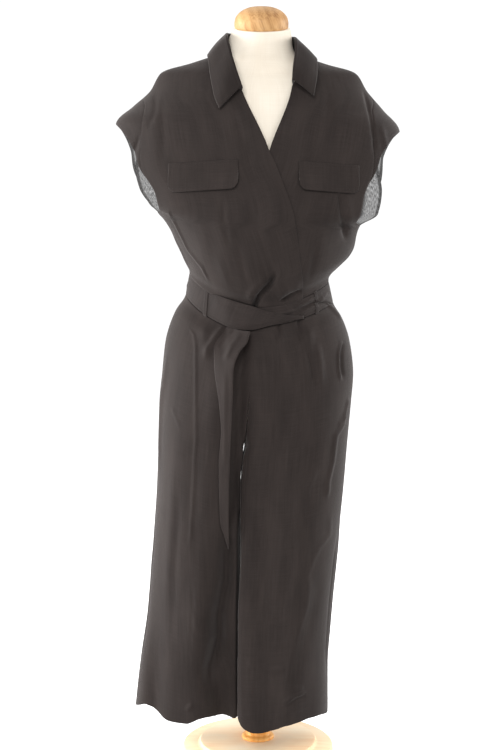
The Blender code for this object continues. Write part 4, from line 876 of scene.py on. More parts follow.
trousers = dict(
    # zSide, zFront, zBack, side, centre, front, back, middle
    right=(
        (1.016, 0.96, 1.012, -0.1435, 0.0, 0.1, 0.101, 0.0),
        (0.988, 0.934, 0.986, -0.1535, -0.002, 0.102, 0.103, 0.0),
        (0.96, 0.905, 0.955, -0.1725, -0.006, 0.117, 0.117, 0.0),
        (0.9, 0.865, 0.9, -0.193, -0.012, 0.127, 0.13, 0.0),
        (0.83, 0.815, 0.832, -0.201, -0.017, 0.13, 0.137, 0.0),
        (0.772, 0.77, 0.772, -0.207, -0.021, 0.129, 0.134, 0.0),
        (0.725, 0.725, 0.725, -0.2085, -0.0245, 0.127, 0.128, 0.0),
        (0.69, 0.69, 0.69, -0.2095, -0.0285, 0.125, 0.122, 0.0),
        (0.6, 0.6, 0.6, -0.213, -0.037, 0.121, 0.115, 0.0),
        (0.444, 0.444, 0.444, -0.225, -0.0375, 0.112, 0.106, -0.003),
        (0.327, 0.326, 0.327, -0.235, -0.0385, 0.104, 0.1, -0.006),
        (0.218, 0.216, 0.218, -0.251, -0.039, 0.096, 0.094, -0.008),
        (0.114, 0.102, 0.11, -0.263, -0.039, 0.088, 0.088, -0.008),
    ),
    left=(
        (1.0, 0.96, 1.012, 0.1475, 0.0, 0.1, 0.101, 0.0),
        (0.972, 0.934, 0.986, 0.1585, -0.002, 0.102, 0.103, 0.0),
        (0.945, 0.905, 0.955, 0.175, -0.006, 0.117, 0.117, 0.0),
        (0.897, 0.865, 0.9, 0.191, -0.012, 0.127, 0.13, 0.0),
        (0.83, 0.815, 0.832, 0.199, -0.017, 0.13, 0.137, 0.0),
        (0.772, 0.77, 0.772, 0.195, -0.021, 0.13, 0.134, 0.0),
        (0.725, 0.725, 0.725, 0.191, -0.0245, 0.13, 0.127, 0.0),
        (0.69, 0.69, 0.69, 0.188, -0.0285, 0.131, 0.12, 0.0),
        (0.6, 0.6, 0.6, 0.181, -0.037, 0.133, 0.111, -0.003),
        (0.444, 0.444, 0.444, 0.166, -0.0375, 0.134, 0.102, -0.008),
        (0.327, 0.325, 0.327, 0.155, -0.0385, 0.13, 0.096, -0.014),
        (0.218, 0.214, 0.218, 0.149, -0.039, 0.123, 0.092, -0.022),
        (0.109, 0.099, 0.105, 0.1492, -0.039, 0.112, 0.089, -0.032),
    ),
    sideFullness=2.2, innerFullness=3.4, meeting=14.0,  # meeting is where the fronts of the legs touch
    # top x, z, bottom x, z, height, half width
    frontFolds=(
        (-0.11, 0.93, -0.124, 0.1, 0.018, 0.044),
        (-0.1, 0.62, -0.08, 0.1, -0.024, 0.024),
        (-0.205, 0.56, -0.218, 0.1, -0.012, 0.022),
        (0.02, 0.7, -0.002, 0.09, 0.009, 0.034),
        (0.122, 0.8, 0.062, 0.1, 0.006, 0.028),
        (0.15, 0.7, 0.104, 0.1, -0.003, 0.026),
    ),
    backFolds=(
        (-0.11, 0.9, -0.14, 0.1, 0.018, 0.032),
        (-0.18, 0.64, -0.205, 0.1, -0.012, 0.024),
        (-0.07, 0.6, -0.075, 0.1, -0.012, 0.024),
        (0.1, 0.9, 0.085, 0.1, 0.018, 0.032),
        (0.16, 0.64, 0.125, 0.1, -0.01, 0.022),
    ),
    # x, height and half width under the belt
    gathers=((-0.11, 0.004, 0.012), (-0.072, -0.004, 0.009), (0.044, 0.005, 0.01), (0.074, -0.005, 0.009),
        (0.104, 0.004, 0.01)),
    gatherTop=0.94, gatherBottom=0.83, beltedZ=0.945,
    rowsDown=236, columns=84, innerColumns=18, corner=0.965, hem=0.024,
    length=0.88, width=0.3, waistRows=0.22, waistRun=0.088,
    creases=(
        ("front", 0.0022, 0.0022, 0.1, ((-0.146, 0.94), (-0.131, 0.92), (-0.1277, 0.9004), (-0.1265, 0.7103),
            (-0.1333, 0.5854), (-0.142, 0.47))),
        ("front", 0.013, 0.03, 0.3, ((-0.08, 0.93), (-0.078, 0.8), (-0.082, 0.6), (-0.1, 0.42), (-0.118, 0.29),
            (-0.134, 0.19))),
        ("front", 0.0052, 0.019, 0.4, ((-0.106, 0.78), (-0.11, 0.64), (-0.116, 0.48))),
        ("front", -0.017, 0.015, 0.16, ((-0.026, 0.955), (-0.033, 0.9), (-0.04, 0.82), (-0.042, 0.7),
            (-0.046, 0.6), (-0.052, 0.5))),
        ("front", 0.0052, 0.0062, 0.25, ((-0.064, 0.944), (-0.088, 0.918), (-0.104, 0.893), (-0.106, 0.87))),
        ("front", 0.0012, 0.003, 0.3, ((-0.1794, 0.7773), (-0.1573, 0.7267))),
        ("front", -0.019, 0.013, 0.25, ((-0.066, 0.54), (-0.0674, 0.4105), (-0.0809, 0.3407), (-0.0812, 0.2876),
            (-0.1014, 0.2197), (-0.11, 0.13))),
        ("front", 0.0026, 0.0044, 0.2, ((-0.0568, 0.2398), (-0.0414, 0.2389))),
        ("front", 0.0028, 0.0044, 0.25, ((-0.0799, 0.234), (-0.0646, 0.2384))),
        ("front", 0.0026, 0.0046, 0.2, ((-0.0278, 0.2578), (-0.0149, 0.2479), (0.0247, 0.2325),
            (0.0612, 0.2302))),
        ("front", 0.0016, 0.005, 0.1, ((0.148, 0.56), (0.148, 0.5285), (0.147, 0.5049), (0.1264, 0.4872),
            (0.113, 0.4625), (0.0997, 0.4276), (0.104, 0.4112), (0.1001, 0.3671), (0.0772, 0.296),
            (0.0643, 0.2355), (0.0545, 0.18))),
        ("front", -0.0016, 0.01, 0.2, ((0.128, 0.44), (0.118, 0.3671), (0.098, 0.296), (0.083, 0.2355),
            (0.0745, 0.17))),
        ("front", 0.0032, 0.0044, 0.25, ((0.0497, 0.15), (0.0778, 0.164), (0.1015, 0.166))),
        ("front", -0.0026, 0.0048, 0.25, ((0.055, 0.14), (0.08, 0.153), (0.101, 0.1545))),
        ("front", 0.0026, 0.0044, 0.25, ((0.0676, 0.18), (0.095, 0.1775))),
        ("front", 0.0028, 0.0046, 0.25, ((-0.1526, 0.133), (-0.1359, 0.143))),
        ("front", 0.0042, 0.0044, 0.15, ((0.179, 0.76), (0.1745, 0.7337), (0.1585, 0.7128), (0.1523, 0.6606),
            (0.1423, 0.6193), (0.141, 0.58))),
        ("front", 0.0025, 0.005, 0.25, ((0.1202, 0.652), (0.1022, 0.6141), (0.0974, 0.5856))),
        ("front", -0.0045, 0.005, 0.3, ((0.099, 0.9), (0.1017, 0.8856), (0.1116, 0.8467), (0.114, 0.82))),
        ("front", 0.0035, 0.0065, 0.35, ((0.118, 0.91), (0.125, 0.87), (0.129, 0.81))),
        ("front", -0.0036, 0.0042, 0.25, ((0.042, 0.955), (0.0418, 0.9375), (0.0386, 0.905))),
        ("front", -0.004, 0.0042, 0.25, ((0.082, 0.96), (0.0826, 0.9451), (0.0868, 0.905))),
        ("front", 0.004, 0.0032, 0.25, ((0.13, 0.989), (0.1431, 0.9777), (0.1659, 0.9543), (0.176, 0.94))),
        ("front", 0.0034, 0.0024, 0.12, ((0.1723, 0.9051), (0.1643, 0.8826), (0.1643, 0.8482),
            (0.1698, 0.8249))),
        ("front", -0.004, 0.0034, 0.12, ((0.1755, 0.9), (0.1705, 0.88), (0.1705, 0.85), (0.1755, 0.828))),
        ("front", 0.0034, 0.0026, 0.15, ((0.1868, 0.7848), (0.1759, 0.7459), (0.1618, 0.7322))),
        ("front", -0.0022, 0.0085, 0.3, ((0.03, 0.76), (0.0307, 0.7221), (0.0338, 0.651), (0.03, 0.59))),
        ("front", 0.002, 0.012, 0.35, ((0.06, 0.78), (0.062, 0.65), (0.056, 0.52))),
        ("front", -0.002, 0.012, 0.35, ((0.082, 0.56), (0.062, 0.42), (0.04, 0.3))),
        ("front", 0.0016, 0.009, 0.35, ((-0.17, 0.7), (-0.18, 0.52), (-0.195, 0.33))),
        ("front", -0.0016, 0.008, 0.35, ((-0.16, 0.64), (-0.172, 0.45), (-0.18, 0.25))),
        # hidden sides: seat drag, gathers under the belt, drape below the seat, and a soft break at the hem
        ("back", -0.0045, 0.006, 0.3, ((-0.11, 0.985), (-0.114, 0.95), (-0.12, 0.9))),
        ("back", 0.004, 0.008, 0.3, ((-0.085, 0.985), (-0.086, 0.94), (-0.092, 0.88))),
        ("back", -0.004, 0.006, 0.3, ((-0.055, 0.985), (-0.056, 0.945), (-0.058, 0.905))),
        ("back", 0.0035, 0.0075, 0.3, ((-0.024, 0.985), (-0.026, 0.94), (-0.026, 0.89))),
        ("back", 0.0035, 0.0075, 0.3, ((0.02, 0.985), (0.024, 0.935), (0.022, 0.895))),
        ("back", -0.0042, 0.006, 0.3, ((0.05, 0.985), (0.052, 0.945), (0.056, 0.89))),
        ("back", 0.004, 0.008, 0.3, ((0.078, 0.985), (0.082, 0.94), (0.088, 0.875))),
        ("back", -0.0045, 0.006, 0.3, ((0.106, 0.98), (0.11, 0.95), (0.116, 0.905))),
        ("back", -0.006, 0.011, 0.3, ((-0.02, 0.78), (-0.06, 0.73), (-0.085, 0.64))),
        ("back", 0.004, 0.011, 0.3, ((-0.045, 0.79), (-0.085, 0.745), (-0.112, 0.66))),
        ("back", -0.006, 0.011, 0.3, ((-0.02, 0.775), (0.03, 0.725), (0.055, 0.65))),
        ("back", 0.0036, 0.011, 0.3, ((0.01, 0.785), (0.055, 0.745), (0.08, 0.67))),
        ("back", -0.005, 0.012, 0.3, ((-0.12, 0.56), (-0.13, 0.43), (-0.15, 0.26), (-0.16, 0.13))),
        ("back", 0.0045, 0.011, 0.3, ((-0.085, 0.52), (-0.095, 0.38), (-0.105, 0.21))),
        ("back", -0.005, 0.012, 0.3, ((0.07, 0.56), (0.062, 0.43), (0.055, 0.26), (0.05, 0.13))),
        ("back", 0.0045, 0.01, 0.3, ((0.11, 0.52), (0.104, 0.36), (0.095, 0.2))),
        ("back", 0.0016, 0.003, 0.25, ((-0.17, 0.255), (-0.12, 0.236), (-0.07, 0.24))),
        ("back", 0.0016, 0.003, 0.25, ((0.01, 0.245), (0.06, 0.232), (0.11, 0.246))),
        ("right", -0.0045, 0.009, 0.3, ((0.03, 0.93), (0.022, 0.82), (0.03, 0.69))),
        ("right", 0.0035, 0.01, 0.3, ((-0.05, 0.9), (-0.046, 0.76), (-0.052, 0.6))),
        ("right", -0.005, 0.011, 0.3, ((-0.03, 0.56), (-0.02, 0.38), (-0.028, 0.17))),
        ("right", 0.0045, 0.012, 0.3, ((0.03, 0.52), (0.026, 0.34), (0.034, 0.15))),
        ("left", -0.0045, 0.009, 0.3, ((0.04, 0.92), (0.036, 0.8), (0.044, 0.68))),
        ("left", 0.0035, 0.01, 0.3, ((0.074, 0.88), (0.07, 0.74), (0.072, 0.61))),
        ("left", -0.005, 0.011, 0.3, ((-0.05, 0.52), (-0.06, 0.36), (-0.064, 0.17))),
        ("left", 0.004, 0.011, 0.3, ((0.006, 0.56), (-0.004, 0.38), (-0.006, 0.16))),
    ),
    # by the seam between the legs, on one leg only
    innerCreases=dict(
        right=(("front", 0.005, 0.012, 0.2, ((-0.038, 0.64), (-0.046, 0.5), (-0.046, 0.33), (-0.046, 0.2),
            (-0.046, -0.1))),),
        left=(
            ("front", -0.005, 0.022, 0.2, ((-0.03, 0.76), (-0.038, 0.6), (-0.04, 0.33), (-0.04, -0.1))),
            ("front", -0.009, 0.03, 0.2, ((0.014, 0.64), (0.008, 0.33), (0.004, 0.2), (0.002, -0.1))),
        ),
    ),
    # the legs part a little here: z and half gap
    slit=((0.76, 0.0), (0.713, 0.0), (0.708, 0.0006), (0.701, 0.0015), (0.692, 0.0014), (0.684, 0.0008),
        (0.677, -0.0004), (0.662, -0.0004),
          (0.657, 0.0004), (0.651, 0.0), (0.645, 0.0004), (0.638, 0.0002), (0.632, 0.0004), (0.625, -0.0004),
              (0.6, -0.0004), (0.444, -0.0002)),
    slitFall=0.19, slitFrom=0.13,  # it drops towards the back
    # how far the front's hem rises above a level line at each x, within the depth of hemFade
    hemRises=dict(
        right=((-0.263, 0.0), (-0.2507, 0.0121), (-0.238, 0.0198), (-0.2254, 0.0183), (-0.2128, 0.0126),
            (-0.2, 0.003),
               (-0.1875, -0.0006), (-0.15, 0.0), (-0.137, 0.0053), (-0.1243, 0.0115), (-0.1117, 0.0134),
                   (-0.099, 0.0113),
               (-0.0864, 0.0096), (-0.0737, 0.0098), (-0.0611, 0.0081), (-0.0485, 0.0045), (-0.0358, 0.005)),
        left=((-0.044, 0.024), (-0.0358, 0.0113), (-0.0253, 0.0), (-0.0105, -0.004), (0.0021, -0.0045),
            (0.0147, -0.0025),
              (0.0274, 0.002), (0.04, 0.0062), (0.0527, 0.012), (0.0653, 0.0151), (0.0779, 0.0175),
                  (0.0906, 0.0187),
              (0.1032, 0.02), (0.1159, 0.0185), (0.1285, 0.016), (0.1411, 0.0085), (0.1492, 0.0)),
    ),
    hemFade=(0.3, 0.19), hemSeam=0.03,
    lap=0.0045,  # how far the left front laps over the right one
    # where the lap starts and within what: forwards (with its change along z), by the corner, downwards
    lapFront=(0.1075, 0.036, 0.008), lapCorner=(-0.022, 0.012), lapTop=(0.62, 0.08),
    closer=0.0004,  # how much nearer the inner faces stand than their solids
)


def innerFullness(place, isFront):
    least = trousers["innerFullness"]
    squarer = np.where(isFront, (trousers["meeting"] - least) * ease((place - 5) / 2.5), 0.0)
    return 2.0 + (least - 2.0) * ease(place / 3) + squarer


def crestShare(place):  # how far in from its side edge a leg is fullest
    return 1.0 - 0.5 * ease((place - 2) / 5)


def lastSwing(place, isFront):  # where a leg's piece reaches the seam between the legs
    reach = np.clip(1 / crestShare(place) - 1, 0, 1)
    return 180 - np.degrees(np.arccos(reach ** (innerFullness(place, isFront) / 2)))


def legSurface(side):
    table, outer = trousers[side], 1 if side == "left" else -1

    def surface(place, swing):
        row = rowsAt(table, place)
        zSide, zFront, zBack, edge, centre, front, back, middle = np.moveaxis(row, -1, 0)
        inner = centre + outer * sizes["legSplit"] * ease(place - 4)
        cos, sin = np.cos(np.radians(swing)), np.sin(np.radians(swing))
        isFront = sin >= 0
        inside = innerFullness(place, isFront)
        beside = 2.0 + (trousers["sideFullness"] - 2.0) * ease(place / 3)
        fullness = np.where(np.abs(swing) < 90, beside, inside)
        reach = (inner - edge) * crestShare(place)
        x = edge + reach - reach * signedPower(cos, fullness)
        y = middle - np.where(isFront, front, back) * signedPower(sin, fullness)
        z = zSide + (np.where(isFront, zFront, zBack) - zSide) * sin * sin
        grow = ease((trousers["beltedZ"] - z) / (trousers["beltedZ"] - trousers["gatherTop"] + 0.02))
        fade = ease((z - trousers["gatherBottom"]) / (trousers["gatherTop"] - trousers["gatherBottom"]))
        waves = sum(h * np.exp(-(((x - c) / w) ** 2)) for c, h, w in trousers["gathers"])
        forward = (foldHeight(trousers["frontFolds"], x, z, ease) + grow * fade * waves) * ease(1.5 * sin)
        backward = foldHeight(trousers["backFolds"], x, z, ease) * ease(-1.5 * sin)
        y = y + np.where(isFront, -forward, backward)
        return np.stack([x, y, z], axis=-1)

    return surface


def cornerSwings(surface, places, last):  # where each row comes to the front or back inner corner
    fine = last[:, None] * np.linspace(0, 1, 301)
    x = surface(np.repeat(places[:, None], 301, 1), fine)[..., 0]
    share = (x - x[:, :1]) / (x[:, -1:] - x[:, :1])
    return np.array([np.interp(trousers["corner"], way, turns) for way, turns in zip(share, fine)])


def makeTrousers():
    wideShares = edgedShares(trousers["columns"], trousers["width"])
    innerShares = np.linspace(0, 1, trousers["innerColumns"])
    down = waistShares(trousers["rowsDown"], trousers["length"], trousers["waistRows"], trousers["waistRun"])
    slitZ, slitGap = np.array(trousers["slit"][::-1]).T
    for side, hand in (("right", -1), ("left", 1)):
        surface, table = legSurface(side), trousers[side]
        last = len(table) - 1
        places = evenPlaces(surface, 60.0, 0, last, down)
        creases = trousers["creases"] + trousers["innerCreases"][side]
        for face, sign in (("Front", 1), ("Back", -1)):
            end = sign * lastSwing(places, sign > 0)
            corner = cornerSwings(surface, places, end)
            swings = evenAngles(surface, places, np.zeros(len(places)), corner, wideShares)
            swings = np.hstack([swings, evenAngles(surface, places, corner, end, innerShares)[:, 1:]])
            wide, isInner = np.repeat(places[:, None], swings.shape[1], 1), np.abs(swings) > 90
            points, normals = raised(surface, wide, swings, last, hand, creases, 0.0, (1, 0, 1, 0), isInner)
            points = belted(points, normals)
            facing = ease((np.abs(normals[..., 0]) - 0.3) / 0.5) * isInner
            level = points[..., 2] + trousers["slitFall"] * (points[..., 1] + trousers["slitFrom"])
            points[..., 0] += hand * (np.interp(level, slitZ, slitGap) - trousers["closer"]) * facing
            x, y, z = np.moveaxis(points.copy(), -1, 0)
            if face == "Front":
                start, within = trousers["hemFade"]
                near = ease((start - z) / within) * ease((table[-1][-1] - y) / trousers["hemSeam"])
                points[..., 2] += atKey(trousers["hemRises"][side], x)[..., 1] * near
            if face == "Front" and side == "left":
                start, slope, within = trousers["lapFront"]
                before = ease((-y - start - slope * z) / within)
                for value, (start, within) in ((x, trousers["lapCorner"]), (z, trousers["lapTop"])):
                    before = before * ease((start - value) / within)
                points[..., 0] -= trousers["lap"] * before
            makeSheet(f"trouser{face}{side.title()}", points, normals, f"trouser_{face.lower()}_{side}")


print("trousers")
makeTrousers()

flaps = dict(
    # inner x, outer x, inner z, outer z, depth, lift of what it lies on
    right=(-0.04, -0.179, 1.275, 1.266, 0.057, sizes["lapLift"]),
    left=(0.08, 0.201, 1.272, 1.262, 0.056, 0.0),
    corner=0.016, thick=0.0018, wall=0.0012, stands=0.005, sewing=0.0066, rootDip=0.001,
    columns=60, rowsDown=34,
)


def onBodice(x, z):  # place and turn of a point of the bodice's front
    low, high = np.zeros_like(x), np.full_like(x, len(bodice["rows"]) - 1.0)
    for _ in range(32):
        place = (low + high) / 2
        row = rowsAt(bodice["rows"], place)
        share = np.clip(np.abs(x) / np.where(x > 0, row[..., 5], row[..., 4]), 0, 1)
        angle = np.degrees(np.arccos(share ** (row[..., 8] / 2)))
        turn = np.where(x > 0, angle, 180 - angle)
        below = bodiceSurface(place, turn)[..., 2] < z
        low, high = np.where(below, place, low), np.where(below, high, place)
    return place, turn


def makeFlap(name, side, node):
    innerX, outerX, innerZ, outerZ, depth, lap = flaps[side]
    corner, width = flaps["corner"], abs(outerX - innerX)
    part = edgedShares(flaps["columns"], width)[None, :]
    down = edgedShares(flaps["rowsDown"], depth)[:, None]
    fromEnd = np.minimum(part, 1 - part) * width
    run = np.clip(corner - fromEnd, 0, None)
    bite = corner - np.sqrt(corner**2 - run**2)
    x = innerX + (outerX - innerX) * part + 0 * down
    z = innerZ + (outerZ - innerZ) * part - (depth - bite) * down
    place, turn = onBodice(x, z)
    points, normals = raised(bodiceSurface, place, turn, len(bodice["rows"]) - 1, -1, bodice["creases"])
    across, below = runs(points, 1), runs(points, 0)
    away = np.minimum(np.minimum(across, across[:, -1:] - across), below[-1:] - below)
    lift = lap + sizes["seam"] + flaps["thick"]
    lift = lift + pressedLine(away, sizes["rimDip"]) + pressedLine(away, sizes["sewnDip"], flaps["sewing"])
    free = ease((down - 0.3) / 0.7) * (1 - 0.75 * part)  # the lower edge stands off most at its inner corner
    lift = lift + flaps["stands"] * free - flaps["rootDip"] * np.exp(-((below / sizes["seamDipWidth"]) ** 2))
    makeSheet(name, points + normals * lift[..., None], normals, node, flaps["wall"])


print("pocket flaps")
makeFlap("pocketFlapRight", "right", "pocket_flap_right")
makeFlap("pocketFlapLeft", "left", "pocket_flap_left")

collar = dict(
    # seam x, y, z, roll x, y, z, edge x, y, z, from the right front round the neck to the left front
    rows=(
        (-0.033, -0.093, 1.409, -0.031, -0.099, 1.416, -0.078, -0.112, 1.374),
        (-0.051, -0.08, 1.438, -0.044, -0.088, 1.454, -0.087, -0.099, 1.394),
        (-0.068, -0.058, 1.461, -0.055, -0.066, 1.492, -0.096, -0.074, 1.434),
        (-0.077, -0.03, 1.48, -0.061, -0.036, 1.519, -0.103, -0.036, 1.478),
        (-0.0852, 0.008, 1.485, -0.0608, 0.012, 1.527, -0.105, 0.014, 1.484),
        (-0.07, 0.046, 1.482, -0.052, 0.052, 1.528, -0.088, 0.068, 1.47),
        (-0.036, 0.067, 1.476, -0.03, 0.071, 1.532, -0.046, 0.095, 1.452),
        (0.002, 0.074, 1.474, 0.002, 0.078, 1.532, 0.002, 0.103, 1.446),
        (0.04, 0.067, 1.476, 0.036, 0.071, 1.529, 0.05, 0.095, 1.45),
        (0.073, 0.046, 1.482, 0.058, 0.052, 1.522, 0.094, 0.068, 1.466),
        (0.0878, 0.008, 1.483, 0.0712, 0.012, 1.519, 0.114, 0.014, 1.48),
        (0.081, -0.03, 1.478, 0.0728, -0.036, 1.512, 0.119, -0.038, 1.4735),
        (0.079, -0.06, 1.46, 0.072, -0.068, 1.486, 0.118, -0.07, 1.443),
        (0.073, -0.08, 1.438, 0.068, -0.09, 1.456, 0.113, -0.09, 1.414),
        (0.068, -0.091, 1.421, 0.066, -0.099, 1.429, 0.11, -0.097, 1.399),
    ),
    rollWidth=0.006, columns=170, stand=14, arch=9, fall=26, thick=0.0012, archRise=0.0016, bow=0.0016,
    rowSpace=0.028, sewing=0.006,
)


def makeCollar():
    places = np.linspace(0, len(collar["rows"]) - 1, collar["columns"] + 1)
    row = rowsAt(collar["rows"], places)
    seam, roll, edge = row[:, None, 0:3], row[:, None, 3:6], row[:, None, 6:9]
    away = edge - roll
    away[..., 2] = 0
    away = unit(away) * collar["rollWidth"]
    rise = np.array([0.0, 0.0, collar["archRise"]])
    standing = np.linspace(0, 1, collar["stand"] + 1)[None, :, None]
    turning = np.linspace(0, math.pi, collar["arch"] + 1)[None, 1:-1, None]
    falling = np.linspace(0, 1, collar["fall"] + 1)[None, :, None]
    stand = seam + (roll - seam) * standing
    arch = roll + away * (0.5 - 0.5 * np.cos(turning)) + rise * np.sin(turning)
    fall = roll + away + (edge - roll - away) * falling
    points = np.concatenate([stand, arch, fall], axis=1)
    normals = gridNormals(points)
    if normals[places.size // 2, -4, 1] < 0:  # the fall of the back faces back
        normals = -normals
    share = np.concatenate([-np.ones(collar["stand"] + collar["arch"]), falling[0, :, 0]])[None, :]
    fromEdge = (1 - share) * np.linalg.norm(edge - roll - away, axis=2)
    fromEnd = np.minimum(places, places[-1] - places)[:, None] * collar["rowSpace"]
    gap = np.minimum(fromEdge, fromEnd)
    lift = pressedLine(gap, sizes["rimDip"]) + pressedLine(gap, sizes["sewnDip"], collar["sewing"])
    bow = collar["bow"] * np.sin(math.pi * np.clip(share, 0, 1)) * (1 + 0.5 * np.sin(places[:, None] * 2.3))
    lift = np.where(share >= 0, lift, 0.0) + np.where(share > 0, bow, 0.0)
    points = points + normals * lift[..., None]
    makeSheet(
        "collarCloth", points, normals, "collar", collar["thick"], inside=doubleOutside, finish=doubleOutside)


print("collar")
makeCollar()


def beltPoint(turn, height, lift):
    point = bodiceSurface(np.zeros_like(turn), turn)
    normal = outward(bodiceSurface, np.zeros_like(turn), turn, len(bodice["rows"]) - 1, -1)
    normal[..., 2] = 0
    normal = unit(normal)
    point = point + normal * lift[..., None]
    point[..., 2] += height
    return point, normal


def clothLift(turn, height):  # how far the cloth at a height over the waist seam stands out from the seam
    places = np.linspace(0, 3, 61)
    found, seam = np.empty(turn.shape), np.zeros(places.shape)
    for spot in np.ndindex(turn.shape):
        angle = turn[spot] % 360
        wide = np.full(places.shape, angle)
        if height[spot] >= 0:
            line = bodiceSurface(places, wide)
        else:
            side = "left" if angle < 90 or angle > 270 else "right"
            swing = math.degrees(math.asin(math.sin(math.radians(angle))))
            line = legSurface(side)(places, np.full(places.shape, swing))
        _, normal = beltPoint(wide[:1], np.zeros(1), np.zeros(1))
        way = line - bodiceSurface(seam, wide)
        found[spot] = np.interp(abs(height[spot]), np.abs(way[:, 2]), way @ normal[0])
    return found


def beltSection(turn, part):
    _, top, bottom, standsTop, standsBottom, bulge = np.moveaxis(atKey(belt["rows"], turn), -1, 0)
    keys = np.linspace(belt["rows"][-1][0], belt["rows"][0][0], 140)
    if "lifts" not in belt:
        _, keyTop, keyBottom, *_ = np.moveaxis(atKey(belt["rows"], keys), -1, 0)
        belt["lifts"] = clothLift(keys, keyTop), clothLift(keys, keyBottom)
    liftTop, liftBottom = (np.interp(turn, keys, found) for found in belt["lifts"])
    liftTop, liftBottom = liftTop + standsTop, liftBottom + standsBottom
    lift = liftBottom + (liftTop - liftBottom) * part
    return bottom + (top - bottom) * part, lift + bulge * np.sin(math.pi * part)


def beltWrinkles(turn, part):
    total = np.zeros_like(part)
    for turnA, partA, turnB, partB, height, width in belt["wrinkles"]:
        along = (turn - turnA) / (turnB - turnA)
        middle = partA + (partB - partA) * along
        swell = np.sin(math.pi * np.clip(along, 0, 1)) ** 0.8
        total += height * swell * np.exp(-(((part - middle) / width) ** 2))
    return total


def makeBelt():
    turn = np.linspace(belt["rows"][0][0], belt["rows"][-1][0], belt["columns"] + 1)[None, :]
    part = edgedShares(belt["rowsUp"], belt["height"])[:, None]
    turn, part = turn + 0 * part, part + 0 * turn
    height, lift = beltSection(turn, part)
    edge = np.minimum(part, 1 - part) * belt["height"]
    lift = lift + beltWrinkles(turn, part)
    lift = lift + pressedLine(edge, sizes["sewnDip"]) + pressedLine(edge, sizes["sewnDip"], belt["sewing"])
    points, normals = beltPoint(turn, height, lift)
    makeSheet("beltBand", points, normals, "belt_band", belt["thick"], inside=evenOutside, finish=evenOutside)
    for number, centre in enumerate(belt["loopTurns"], 1):
        makeLoop(f"beltLoop{number}", centre, f"belt_loop_{number}")


def makeLoop(name, centre, node):
    half = math.degrees(belt["loopWidth"] / 2 / belt["loopRadius"])
    top, bottom = atKey(belt["rows"], centre)[1:3]
    past = belt["loopReach"] / (top - bottom)
    turn = centre + half * np.linspace(-1, 1, 11)[None, :]
    part = np.linspace(-past, 1 + past, 40)[:, None]
    turn, part = turn + 0 * part, part + 0 * turn
    inside = np.clip(part, 0, 1)
    over = sizes["seam"] + belt["loopCloth"] + belt["loopBow"] * np.sin(math.pi * inside)
    over = over - belt["loopSink"] * np.clip(np.abs(part - inside) / past, 0, 1)
    height, lift = beltSection(turn, inside)
    height = height + (part - inside) / past * belt["loopReach"]
    lift = lift + over + beltWrinkles(turn, inside)
    points, normals = beltPoint(turn, height, lift)
    makeSheet(name, points, normals, node, belt["loopCloth"], inside=evenOutside, finish=evenOutside)


print("belt")
makeBelt()

tail = dict(
    # z, left x and right x of the hanging end
    rows=(
        (0.934, -0.062, -0.016),
        (0.913, -0.078, -0.022),
        (0.89, -0.09, -0.0385),
        (0.855, -0.089, -0.05),
        (0.79, -0.08, -0.052),
        (0.73, -0.0757, -0.055),
        (0.66, -0.0805, -0.058),
        (0.546, -0.0785, -0.0605),
        (0.51, -0.07, -0.0605),
        (0.484, -0.0625, -0.06),
    ),
    lift=0.0034, stands=0.012, thick=0.0009, rowsDown=150, columns=30, width=0.05,
    tuck=0.0008, follows=3,  # it starts this far under the belt, and follows the belt's edge for some rows
    # its outer edge lies flush as far as the pleats reach, and its inner one stands off: first row, and within
    flush=0.62, flushRows=(3.5, 1.5), standsRows=(10.5, 4), slope=0.95,
    overFolds=0.02,  # it lies over the leg's ridges that are wider than this
    creases=(
        ("front", -0.0022, 0.0042, 0.2, ((-0.044, 0.936), (-0.066, 0.915), (-0.08, 0.895))),
        ("front", 0.0026, 0.005, 0.25, ((-0.034, 0.93), (-0.054, 0.905), (-0.07, 0.872))),
        ("front", 0.0012, 0.005, 0.2, ((-0.068, 0.86), (-0.068, 0.79), (-0.069, 0.65))),
    ),
)


def onLegFront(x, z):
    surface = legSurface("right")
    low, high = np.zeros_like(x), np.full_like(x, len(trousers["right"]) - 1.0)
    for _ in range(18):
        place = (low + high) / 2
        near, far = np.zeros_like(x), lastSwing(place, True)
        for _ in range(16):
            swing = (near + far) / 2
            short = surface(place, swing)[..., 0] < x
            near, far = np.where(short, swing, near), np.where(short, far, swing)
        above = surface(place, swing)[..., 2] > z
        low, high = np.where(above, place, low), np.where(above, high, place)
    return surface(place, swing)


